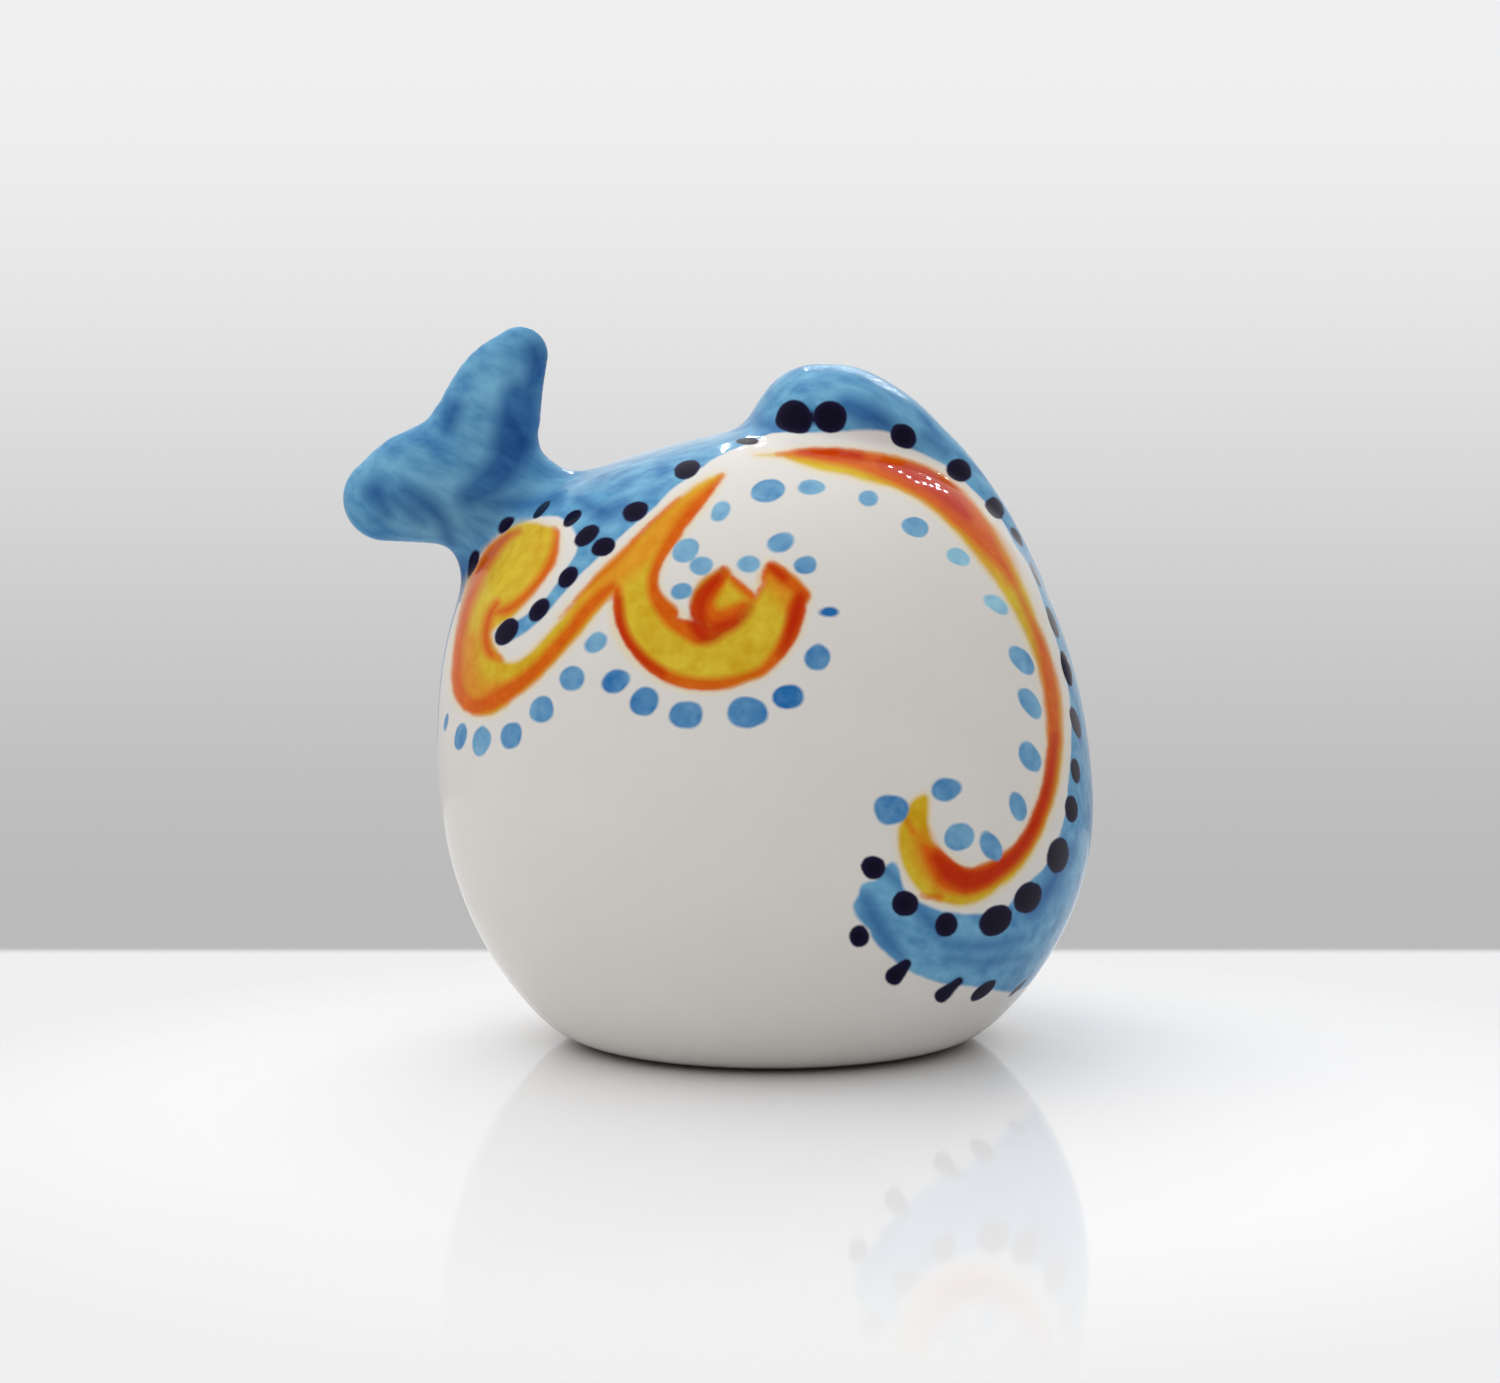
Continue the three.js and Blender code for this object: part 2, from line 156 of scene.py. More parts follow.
def rod_distance(points: np.ndarray, path: np.ndarray, half: np.ndarray) -> np.ndarray:
    """Distance to a rod whose thickness changes along it.

    Args:
        points: Where to measure, one row each.
        path: The rod's centre line, one row for each of its points.
        half: Half the rod's thickness at each of these points.

    Returns:
        A distance for each point, negative inside the rod.
    """
    nearest = np.full(len(points), np.inf)
    for k in range(len(path) - 1):
        along = path[k + 1] - path[k]
        share = np.clip((points - path[k]) @ along / max(along @ along, 1e-9), 0.0, 1.0)
        gap = points - path[k] - share[:, None] * along
        thick = half[k] + share * (half[k + 1] - half[k])
        np.minimum(nearest, np.sqrt(np.einsum("ij,ij->i", gap, gap)) - thick, out=nearest)
    return nearest


@dataclass(frozen=True)
class PhotoView:
    """The camera of the photograph, in millimetres about the body's axis.

    Angles are in degrees. clip is the nearest and the farthest that is seen, in metres.
    """

    looked_at: float = 60.0
    distance: float = 600.0
    elevation: float = 5.0
    bearing: float = -6.0
    aim: Triple = (-3.4, 0.36, 58.1)
    focal_pixels: float = 3600.0
    frame: tuple[int, int] = (1500, 1383)
    sensor: float = 36.0
    clip: tuple[float, float] = (0.01, 20.0)

    def place(self) -> Vector:
        """Where the camera stands."""
        up = math.radians(self.elevation)
        turn = math.radians(self.bearing)
        way = Vector((math.sin(turn) * math.cos(up), -math.cos(turn) * math.cos(up), math.sin(up)))
        return Vector((0.0, 0.0, self.looked_at)) + self.distance * way

    def axes(self) -> tuple[Vector, Vector, Vector]:
        """The camera's directions to the right, up and forward."""
        forward = (Vector(self.aim) - self.place()).normalized()
        right = forward.cross(Vector((0.0, 0.0, 1.0))).normalized()
        return right, right.cross(forward), forward

    def ray(self, pixel: Pixel) -> Vector:
        """The direction in which a pixel of the photograph looks."""
        right, up, forward = self.axes()
        across = float(pixel[0] - self.frame[0] / 2) / self.focal_pixels
        above = float(self.frame[1] / 2 - pixel[1]) / self.focal_pixels
        return (forward + across * right + above * up).normalized()

    def pixels(self, points: np.ndarray) -> np.ndarray:
        """Where points of the fish are seen in the photograph."""
        right, up, forward = (np.array(way) for way in self.axes())
        away = points - np.array(self.place())
        scale = self.focal_pixels / (away @ forward)
        return np.column_stack(
            (self.frame[0] / 2 + scale * (away @ right), self.frame[1] / 2 - scale * (away @ up))
        )

    def make(self, axis: Vector) -> bpy.types.Object:
        """Add the camera.

        Args:
            axis: Where the body's axis stands in the part's frame, in millimetres.

        Returns:
            The camera, which is the scene's camera from then on.
        """
        data = bpy.data.cameras.new("photo_camera")
        data.sensor_fit = "HORIZONTAL"
        data.sensor_width = self.sensor
        data.lens = self.focal_pixels / self.frame[0] * self.sensor
        data.clip_start, data.clip_end = self.clip
        camera = bpy.data.objects.new("photo_camera", data)
        camera.location = (self.place() + axis) * MM
        camera.rotation_euler = self.axes()[2].to_track_quat("-Z", "Y").to_euler()
        bpy.context.scene.collection.objects.link(camera)
        bpy.context.scene.camera = camera
        return camera


@dataclass(frozen=True)
class BodyForm:
    """The cast body: a full-shouldered egg that leans back a little, cut flat at the foot."""

    radius: float = 54.4
    half_width: float = 53.6
    widest_height: float = 42.0
    belly_depth: float = 53.6
    crown_height: float = 60.3
    crown_fullness: float = 0.21
    crown_lean: float = 4.6
    lean_start: float = -24.0
    crown_tilt: float = 0.065
    foot_round: float = 6.0
    recess_radius: float = 24.0
    recess_depth: float = 1.2
    recess_slope: float = 4.0
    hole_radius: float = 9.0
    hole_rim: float = 1.6
    hole_rim_rise: float = 0.8
    wall: float = 5.0
    back_at: float = -5.6
    back_height: float = 103.2
    back_slope: float = 0.288
    back_round: float = 7.0
    steepness_floor: float = 0.01

    def lean(self, level: np.ndarray) -> np.ndarray:
        """How far the ring at a level, an angle above the widest ring, stands back from the axis."""
        return self.crown_lean * np.sin(np.maximum(level - math.radians(self.lean_start), 0.0)) ** 2

    def place(self, level: float, bearing: float, grow: float = 0.0) -> np.ndarray:
        """A point of the surface.

        Args:
            level: Angle above the widest ring, in radians.
            bearing: Angle round the axis from the front towards the left side, in radians.
            grow: How far the surface is moved out.

        Returns:
            The point.
        """
        rise = math.sin(level)
        above = max(rise, 0.0)
        depth = (self.crown_height if rise > 0 else self.belly_depth) + grow
        share = math.cos(level) * (1.0 + self.crown_fullness * above**2)
        ahead = (self.radius + grow) * share * math.cos(bearing)
        return np.array(
            (
                ahead - float(self.lean(np.float64(level))),
                (self.half_width + grow) * share * math.sin(bearing),
                self.widest_height + depth * rise + self.crown_tilt * ahead * above**2,
            )
        )

    def outward(self, level: float, bearing: float) -> np.ndarray:
        """The direction that the surface faces at a point."""
        nudge = 0.01
        up = self.place(level + nudge, bearing) - self.place(level, bearing)
        round_axis = self.place(level, bearing + nudge) - self.place(level, bearing)
        facing = np.cross(round_axis, up)
        return facing / np.linalg.norm(facing)

    def rings(self, points: np.ndarray) -> tuple[np.ndarray, np.ndarray, np.ndarray]:
        """Which ring of the egg each point is on.

        Args:
            points: Places, one row each.

        Returns:
            The rise of the ring, from -1 to 1, its depth scale, and how far ahead of it each point lies.
        """
        x, _, z = points.T
        depth = np.where(z > self.widest_height, self.crown_height, self.belly_depth)
        straight = (z - self.widest_height) / depth
        rise = straight
        for _ in range(2):
            ahead = x + self.lean(np.arcsin(np.clip(rise, -1.0, 1.0)))
            rise = straight - self.crown_tilt * ahead * np.clip(rise, 0.0, 1.0) ** 2 / depth
        return rise, depth, ahead

    def egg_distance(self, points: np.ndarray) -> np.ndarray:
        """Distance to the whole egg, flattened a little along the back, before the foot is cut."""
        rise, depth, ahead = self.rings(points)
        x, y, z = points.T
        above = np.clip(rise, 0.0, 1.0)
        swell = 1.0 + self.crown_fullness * above**2
        across = (ahead / self.radius) ** 2 + (y / self.half_width) ** 2
        value = across / swell**2 + rise**2 - 1.0
        fall_x = 2.0 * ahead / (self.radius * swell) ** 2
        fall_y = 2.0 * y / (self.half_width * swell) ** 2
        fall_z = (2.0 * rise - 4.0 * self.crown_fullness * above * across / swell**3) / depth
        steepness = np.sqrt(fall_x**2 + fall_y**2 + fall_z**2)
        egg = value / np.maximum(steepness, self.steepness_floor)
        back = z - self.back_height - self.back_slope * (x - self.back_at)
        return soft_max(egg, back / math.hypot(1.0, self.back_slope), self.back_round)

    def distance(self, points: np.ndarray) -> np.ndarray:
        """Distance to the egg with its foot, the recess in the foot and the rim of the pour hole."""
        x, y, z = points.T
        middle = np.hypot(x, y)
        reach = self.recess_slope / 2
        recess = smooth_step(-middle, -self.recess_radius - reach, -self.recess_radius + reach)
        rim = smooth_step(-middle, -self.hole_radius - self.hole_rim, -self.hole_radius)
        under = self.recess_depth * recess + self.hole_rim_rise * rim - z
        return soft_max(self.egg_distance(points), under, self.foot_round)

    def chart(self, points: np.ndarray) -> np.ndarray:
        """Each point's bearing from the front in degrees, the same on both sides, and its height."""
        _, _, ahead = self.rings(points)
        bearing = np.degrees(np.arctan2(np.abs(points[:, 1]), ahead))
        return np.column_stack((bearing, points[:, 2]))


@dataclass(frozen=True)
class FinForm:
    """A fin made of tapering rolls of clay pressed together in the plane of symmetry.

    Each roll is a row of stations: how far ahead of the axis, how high, and the radius there.
    flatness is how wide a roll is across that plane, as a share of its width in it.
    """

    rolls: tuple[tuple[Triple, ...], ...]
    flatness: float
    roll_fillet: float
    body_fillet: tuple[float, float]
    fillet_span: tuple[float, float]
    seam_rise: float = 0.8
    steps: int = 4

    def fillet(self, points: np.ndarray) -> np.ndarray:
        """How wide the corner with the body is filled, from the back of the fin to its front."""
        return np.interp(points[:, 0], self.fillet_span, self.body_fillet)

    def distance(self, points: np.ndarray) -> np.ndarray:
        """Distance to the fin, without the body."""
        stretched = points * np.array((1.0, 1.0 / self.flatness, 1.0))
        whole = None
        for roll in self.rolls:
            stations = smooth_path(np.array(roll), self.steps)
            path = np.insert(stations[:, :2], 1, 0.0, axis=1)
            one = rod_distance(stretched, path, stations[:, 2])
            whole = one if whole is None else soft_min(whole, one, self.roll_fillet)
        return whole


@dataclass
class Skin:
    """A skin of triangles with a normal at each point, in millimetres."""

    points: np.ndarray
    normals: np.ndarray
    triangles: np.ndarray

    def kept(self, triangles: np.ndarray) -> "Skin":
        """The part of the skin that some of its triangles make."""
        used, renamed = np.unique(triangles, return_inverse=True)
        return Skin(self.points[used], self.normals[used], renamed.reshape(-1, 3))

    def split(self, height: np.ndarray) -> tuple["Skin", "Skin"]:
        """Cut the skin along the line where a value is zero.

        Args:
            height: The value at each point.

        Returns:
            The part where the value is negative, and the part where it is positive.
        """
        least, most = 0.08, 0.92
        upper = height > 0
        count = upper[self.triangles].sum(axis=1)
        low = [self.triangles[count == 0]]
        high = [self.triangles[count == 3]]
        made: dict[tuple[int, int], int] = {}
        points: list[np.ndarray] = []
        normals: list[np.ndarray] = []

        def crossing(a: int, b: int) -> int:
            """The point where the edge between two points meets the line."""
            first, second = min(a, b), max(a, b)
            if (first, second) not in made:
                share = np.clip(height[first] / (height[first] - height[second]), least, most)
                made[first, second] = len(self.points) + len(points)
                points.append(self.points[first] * (1 - share) + self.points[second] * share)
                blended = self.normals[first] * (1 - share) + self.normals[second] * share
                normals.append(blended / np.linalg.norm(blended))
            return made[first, second]

        for triangle in self.triangles[(count == 1) | (count == 2)]:
            sides = upper[triangle]
            alone = int(np.flatnonzero(sides == (sides.sum() == 1))[0])
            a, b, c = (int(triangle[(alone + k) % 3]) for k in range(3))
            ab, ac = crossing(a, b), crossing(a, c)
            tip, rest = (high, low) if sides[alone] else (low, high)
            tip.append(np.array([[a, ab, ac]]))
            rest.append(np.array([[ab, b, c], [ab, c, ac]]))
        whole = Skin(
            np.concatenate((self.points, np.array(points).reshape(-1, 3))),
            np.concatenate((self.normals, np.array(normals).reshape(-1, 3))),
            self.triangles,
        )
        return whole.kept(np.concatenate(low)), whole.kept(np.concatenate(high))

    def borders(self) -> list[np.ndarray]:
        """The open edges of the skin as loops of points, each in the direction of its triangles."""
        edges = np.concatenate([self.triangles[:, [k, (k + 1) % 3]] for k in range(3)])
        there = {(int(a), int(b)) for a, b in edges}
        follow = {a: b for a, b in there if (b, a) not in there}
        loops = []
        while follow:
            start, here = follow.popitem()
            loop = [start]
            while here != start:
                loop.append(here)
                here = follow.pop(here)
            loops.append(np.array(loop))
        return loops

    def add(self, points: np.ndarray, triangles: np.ndarray) -> None:
        """Add hidden points, whose normals are left open, and triangles that use them."""
        self.points = np.concatenate((self.points, points))
        self.normals = np.concatenate((self.normals, np.zeros_like(points)))
        self.triangles = np.concatenate((self.triangles, triangles))

    def close(self, loop: np.ndarray, apex: np.ndarray) -> None:
        """Close an open border with a fan from one point."""
        top = len(self.points)
        after = np.roll(loop, -1)
        fan = np.column_stack((after, loop, np.full(len(loop), top)))
        self.add(apex.reshape(1, 3), fan)


@dataclass(frozen=True)
class SurfaceNet:
    """Turns a distance into an even skin of small triangles whose points lie on the surface."""

    distance: Callable[[np.ndarray], np.ndarray]
    low: Triple
    high: Triple
    step: float
    nudge: float = 0.02
    rounds: int = 3

    def grid(self) -> tuple[np.ndarray, np.ndarray]:
        """The distance on a regular grid, and the grid's first corner."""
        counts = [int(math.ceil((b - a) / self.step)) + 1 for a, b in zip(self.low, self.high)]
        middles = [(a + b) / 2 for a, b in zip(self.low, self.high)]
        first = np.array([m - (n - 1) / 2 * self.step for m, n in zip(middles, counts)])
        lines = [first[k] + self.step * np.arange(counts[k]) for k in range(3)]
        places = np.stack(np.meshgrid(*lines, indexing="ij"), axis=-1).reshape(-1, 3)
        return self.distance(places).reshape(counts), first

    def quads(self) -> tuple[np.ndarray, np.ndarray]:
        """One point in each grid cell that the surface passes through, joined into faces.

        Returns:
            The points and the faces, whose corners go round anticlockwise seen from outside.
        """
        values, first = self.grid()
        inside = values < 0
        shape = np.array(values.shape) - 1
        corners = [(i, j, k) for i in (0, 1) for j in (0, 1) for k in (0, 1)]
        views = [
            values[i : i + shape[0], j : j + shape[1], k : k + shape[2]] for i, j, k in corners
        ]
        count = sum((view < 0).astype(np.int8) for view in views)
        mixed = (count > 0) & (count < len(corners))
        cells = np.argwhere(mixed)
        number = np.full(shape, -1)
        number[mixed] = np.arange(len(cells))
        held = np.stack([view[mixed] for view in views], axis=1)
        total = np.zeros((len(cells), 3))
        crossings = np.zeros((len(cells), 1))
        for a, start in enumerate(corners):
            for b, end in enumerate(corners):
                way = np.array(end) - np.array(start)
                if way.min() < 0 or way.sum() != 1:
                    continue
                cut = (held[:, a] < 0) != (held[:, b] < 0)
                share = held[:, a] / np.where(cut, held[:, a] - held[:, b], 1.0)
                total += np.where(cut[:, None], np.array(start) + share[:, None] * way, 0.0)
                crossings += cut[:, None]
        points = first + self.step * (cells + total / crossings)
        faces = []
        for axis in range(3):
            u, v = (axis + 1) % 3, (axis + 2) % 3
            here = np.take(inside, np.arange(shape[axis]), axis)
            there = np.take(inside, np.arange(1, shape[axis] + 1), axis)
            edge = np.argwhere(here != there)
            ring = []
            for du, dv in ((-1, -1), (0, -1), (0, 0), (-1, 0)):
                cell = edge.copy()
                cell[:, u] += du
                cell[:, v] += dv
                ring.append(number[tuple(cell.T)])
            quad = np.stack(ring, axis=1)
            turned = ~here[tuple(edge.T)]
            quad[turned] = quad[turned][:, ::-1]
            faces.append(quad)
        return points, np.concatenate(faces)

    def slope(self, points: np.ndarray) -> np.ndarray:
        """The direction and rate at which the distance grows at each point."""
        out = np.empty_like(points)
        for k in range(3):
            shift = np.zeros(3)
            shift[k] = self.nudge
            out[:, k] = self.distance(points + shift) - self.distance(points - shift)
        return out / (2 * self.nudge)

    def settle(self, points: np.ndarray, times: int) -> np.ndarray:
        """Move points along the slope until they lie on the surface."""
        for _ in range(times):
            slope = self.slope(points)
            square = np.einsum("ij,ij->i", slope, slope)
            points = points - slope * (self.distance(points) / square)[:, None]
        return points

    def relaxed(self, points: np.ndarray, faces: np.ndarray) -> np.ndarray:
        """Spread points evenly by moving each one to the middle of its neighbours."""
        total = np.zeros_like(points)
        count = np.zeros(len(points))
        for k in range(4):
            for other in (faces[:, (k + 1) % 4], faces[:, (k + 3) % 4]):
                np.add.at(total, faces[:, k], points[other])
                np.add.at(count, faces[:, k], 1.0)
        return total / count[:, None]

    @staticmethod
    def halved(points: np.ndarray, faces: np.ndarray) -> tuple[np.ndarray, np.ndarray]:
        """Split each face into four."""
        sides = np.concatenate([faces[:, [k, (k + 1) % 4]] for k in range(4)])
        edges, which = np.unique(np.sort(sides, axis=1), axis=0, return_inverse=True)
        which = which.reshape(4, -1).T + len(points)
        middle = np.arange(len(faces)) + len(points) + len(edges)
        everything = np.concatenate((points, points[edges].mean(axis=1), points[faces].mean(axis=1)))
        quarters = [
            np.column_stack((faces[:, k], which[:, k], middle, which[:, (k + 3) % 4]))
            for k in range(4)
        ]
        return everything, np.concatenate(quarters)

    def skin(self) -> Skin:
        """The finished skin, at half the grid's step."""
        points, faces = self.quads()
        for _ in range(self.rounds):
            points = self.settle(self.relaxed(points, faces), 1)
        points, faces = self.halved(points, faces)
        points = self.settle(self.relaxed(points, faces), 2)
        slope = self.slope(points)
        normals = slope / np.linalg.norm(slope, axis=1, keepdims=True)
        first = np.linalg.norm(points[faces[:, 0]] - points[faces[:, 2]], axis=1)
        second = np.linalg.norm(points[faces[:, 1]] - points[faces[:, 3]], axis=1)
        short = (first < second)[:, None]
        one = np.where(short, faces[:, [0, 1, 2]], faces[:, [0, 1, 3]])
        two = np.where(short, faces[:, [0, 2, 3]], faces[:, [1, 2, 3]])
        return Skin(points, normals, np.concatenate((one, two)))


@dataclass(frozen=True)
class Stroke:
    """A brush stroke: pixels of the photograph along it, and half its width there, in pixels too."""

    trail: tuple[Pixel, ...]
    half: tuple[float, ...]


@dataclass(frozen=True)
class Dab:
    """One press of the brush: where it is in the photograph, and its size there in pixels.

    lean is the angle of the longer way above the horizontal, in degrees. tone is 0 for pale and 1 for deep.
    """

    place: Pixel
    length: float
    breadth: float
    lean: float = 0.0
    tone: float = 0.5


@dataclass(frozen=True)
class Ornament:
    """The traditional scroll and dot ornament of one side, as the photograph shows it."""

    wash_border: tuple[Pixel, ...] = (
        (461, 602), (466, 583), (472, 569), (482, 553), (497, 537), (513, 527), (530, 520),
        (546, 516), (561, 518), (571, 526), (577, 540), (576, 553), (566, 569), (546, 598),
        (530, 612), (516, 621), (498, 628), (494, 636), (500, 645), (513, 640), (530, 629),
        (546, 614), (560, 597), (579, 576), (596, 560), (612, 545), (628, 530), (641, 519),
        (657, 505), (672, 489), (691, 476), (706, 464), (725, 453),
        (742, 446), (762, 437), (773, 433), (803, 433), (844, 431), (870, 430), (891, 433),
        (906, 446), (926, 455), (949, 468), (967, 484), (986, 503), (1002, 520), (1014, 543),
        (1027, 563), (1037, 585), (1049, 620), (1058, 646), (1064, 670), (1070, 700),
        (1071, 750), (1068, 785), (1066, 811), (1060, 833), (1052, 851), (1044, 868),
        (1031, 880), (1016, 895), (1005, 909), (978, 914), (955, 913), (935, 909), (918, 901),
        (904, 890), (900, 873), (894, 862), (886, 866), (876, 880), (862, 884), (858, 896),
        (853, 905), (857, 917), (869, 930), (874, 941), (886, 953), (908, 970), (940, 983),
        (978, 987), (1012, 993),
    )
    yellow: tuple[Stroke, ...] = (
        Stroke(
            ((551, 535), (543, 540), (528, 551), (511, 570), (496, 592), (483, 611), (475, 625), (474, 640),
             (476, 656), (480, 673), (484, 687), (498, 682), (507, 681), (522, 675), (540, 660.5), (556, 643),
             (575, 621), (597, 593), (612, 578), (630, 563), (643, 553), (655, 541), (670, 524), (687, 506),
             (703, 490), (719, 477), (724, 474)),
            (9, 16, 30, 33, 31, 22.5, 17, 18.5, 22.5, 28, 30, 23, 19, 15.5, 13.5, 13.5, 13.7, 13.5, 14.5, 15,
             17, 17, 15, 12.5, 9, 4, 1.5),
        ),
        Stroke(
            ((634, 575), (636, 597), (642, 617), (657, 639), (682, 653), (713, 656), (743, 648), (766, 628),
             (780, 605), (781, 588), (773, 571)),
            (18, 23, 26, 28, 33, 34, 35, 31, 26, 18, 10),
        ),
        Stroke(((724, 574), (712, 592), (716, 606), (738, 606)), (8, 17, 26, 20)),
        Stroke(((722, 575), (736, 589), (750, 602)), (7, 9, 8)),
        Stroke(((776, 572), (790, 586), (801, 597)), (9, 12, 10)),
        Stroke(((675, 531), (659, 552), (651, 570), (650, 584), (656, 600), (668, 612)), (8, 8, 8, 8, 9, 10)),
        Stroke(
            ((754, 455), (781, 455), (800, 457), (823, 460), (850, 463), (874, 468), (900, 474), (922, 483),
             (943, 497), (962, 515), (979, 535), (993, 555), (1006, 576), (1017, 596), (1028, 620),
             (1038, 645), (1047, 672), (1053, 700), (1055, 735), (1054, 768), (1049, 793), (1041, 816),
             (1033, 834), (1022, 852), (1006, 867), (990, 877), (978, 884), (963, 887), (949, 884),
             (936, 877), (926, 866), (917, 850), (914, 832), (919, 808), (924, 799)),
            (1, 3, 8, 12, 14, 16, 17, 18, 18, 18, 17, 15, 13, 12, 10, 9, 8.5, 9, 8.5, 8.5, 8.5, 8.5, 9, 10.5,
             14, 15.5, 17, 20, 21, 23, 22, 19, 17, 11, 6),
        ),
        Stroke(((940, 897), (926, 897), (921, 896)), (4, 2, 1)),
        Stroke(((908, 822), (913, 832)), (2.5, 2.5)),
    )
    amber: tuple[Stroke, ...] = (
        Stroke(
            ((578, 614), (604, 586), (622, 569), (640, 554), (655, 538), (672, 519), (690, 502), (708, 486)),
            (7, 9, 11, 12, 11, 9, 7, 3),
        ),
        Stroke(((704, 612), (716, 620), (733, 612)), (9, 9, 6)),
        Stroke(((771, 580), (783, 590), (789, 606)), (8, 9, 6)),
        Stroke(((470, 640), (468, 664), (476, 690), (500, 690)), (8, 9, 10, 9)),
        Stroke(((985, 540), (1000, 562), (1010, 580)), (14, 12, 7)),
        Stroke(((922, 838), (928, 858), (942, 880)), (8, 12, 12)),
    )
    orange: tuple[Stroke, ...] = (
        Stroke(
            ((557, 528), (557, 541), (553, 557), (545, 573), (534, 587), (520, 601), (507, 610), (496, 612)),
            (3, 4, 5, 5, 4.5, 4.5, 5, 4),
        ),
        Stroke(
            ((519, 531), (503, 540), (490, 555), (480, 572), (473, 589), (467, 606), (462, 626), (458, 646),
             (457, 666), (457, 682), (462, 697), (472, 706), (487, 704), (505, 694), (523, 681), (540, 666),
             (556, 648), (573, 628), (588, 609), (603, 594), (613, 586)),
            (2, 5, 7, 7, 6, 6, 6, 6, 6.5, 7, 8, 9, 9, 9, 8, 7, 7, 7, 6.5, 6, 4),
        ),
        Stroke(
            ((497, 603), (491, 613), (487, 626), (486, 641), (490, 653), (500, 659)),
            (4, 5, 5, 5, 5, 2.5),
        ),
        Stroke(
            ((559, 616), (576, 599), (596, 579), (613, 564), (629, 547), (646, 527), (660, 515), (679, 498)),
            (1.2, 1.6, 2.4, 2.8, 2.8, 2.8, 2.4, 1.2),
        ),
        Stroke(
            ((722, 476), (713, 488), (698, 505), (684, 522), (669, 545), (659, 562), (654, 578), (655, 593),
             (663, 607), (674, 618), (686, 627), (697, 635)),
            (2.5, 5, 7, 7, 7, 6, 6, 7, 9, 11, 11, 10),
        ),
        Stroke(
            ((617, 590), (617, 610), (619, 626), (626, 641), (637, 655), (650, 666), (661, 674), (678, 681),
             (697, 685), (716, 685), (732, 682), (747, 677), (762, 671), (774, 660), (785, 645), (793, 628),
             (797, 610), (801, 596)),
            (5, 7, 7.5, 7.5, 7.5, 7.5, 7.5, 7.5, 7.5, 7, 6, 4.5, 5, 7, 9, 9.5, 10, 8),
        ),
        Stroke(((805, 595), (795, 586), (782, 575), (770, 566)), (6.5, 7.5, 7.5, 6)),
        Stroke(((765, 572), (760, 585), (757, 594)), (5, 4.5, 3)),
        Stroke(((725, 571), (739, 584), (753, 597)), (4, 5, 5)),
        Stroke(
            ((778, 454), (799, 453), (825, 455), (852, 458), (875, 464), (900, 472), (922, 481), (943, 494),
             (962, 512), (980, 532), (994, 552), (1006, 569), (1018, 591), (1029, 616), (1040, 641),
             (1048, 672), (1052, 700), (1054, 735), (1051, 768), (1046, 793), (1038, 816), (1028, 838),
             (1014, 856), (1000, 867), (985, 876), (966, 881), (949, 874), (935, 857), (924, 847)),
            (1, 4.5, 8, 9.5, 12, 14.5, 16, 16.5, 16, 12, 7, 4, 2, 2.5, 5, 7.5, 8, 7.5, 7, 7.5, 7.5, 8, 9,
             10.5, 12, 15, 16, 11, 3),
        ),
        Stroke(
            ((724, 577), (714, 588), (706, 603), (712, 618), (728, 616), (744, 605)),
            (5, 8, 9, 9, 8, 5),
        ),
        Stroke(((940, 897), (926, 897), (921, 896)), (3, 1.5, 0.8)),
        Stroke(((908, 822), (913, 832)), (2, 2)),
    )
    ember: tuple[Stroke, ...] = (
        Stroke(
            ((722, 570), (715, 580), (703, 593), (697, 608), (699, 624), (707, 635), (720, 629), (736, 622),
             (747, 612), (751, 606)),
            (4, 7, 9, 9, 10, 10, 8, 6, 4, 2),
        ),
        Stroke(((779, 654), (784, 648), (791, 631), (796, 614), (800, 598)), (2, 4, 6.5, 7.5, 6)),
        Stroke(((783, 577), (772, 567)), (4.5, 4)),
        Stroke(((619, 600), (620, 626), (627, 641), (638, 655), (651, 666), (663, 674)), (3, 5, 5, 5, 4, 3)),
        Stroke(
            ((1055, 735), (1051, 768), (1046, 793), (1038, 816), (1027, 838), (1013, 857), (999, 868),
             (984, 877), (966, 880), (950, 872), (937, 858)),
            (3, 4.5, 5.5, 5.5, 6, 7, 8, 9, 11, 11, 6),
        ),
        Stroke(((880, 463), (905, 472), (930, 483), (952, 500), (968, 517)), (3, 7, 9, 9, 5)),
        Stroke(((800, 452), (830, 452), (860, 456)), (1.5, 4, 4)),
    )
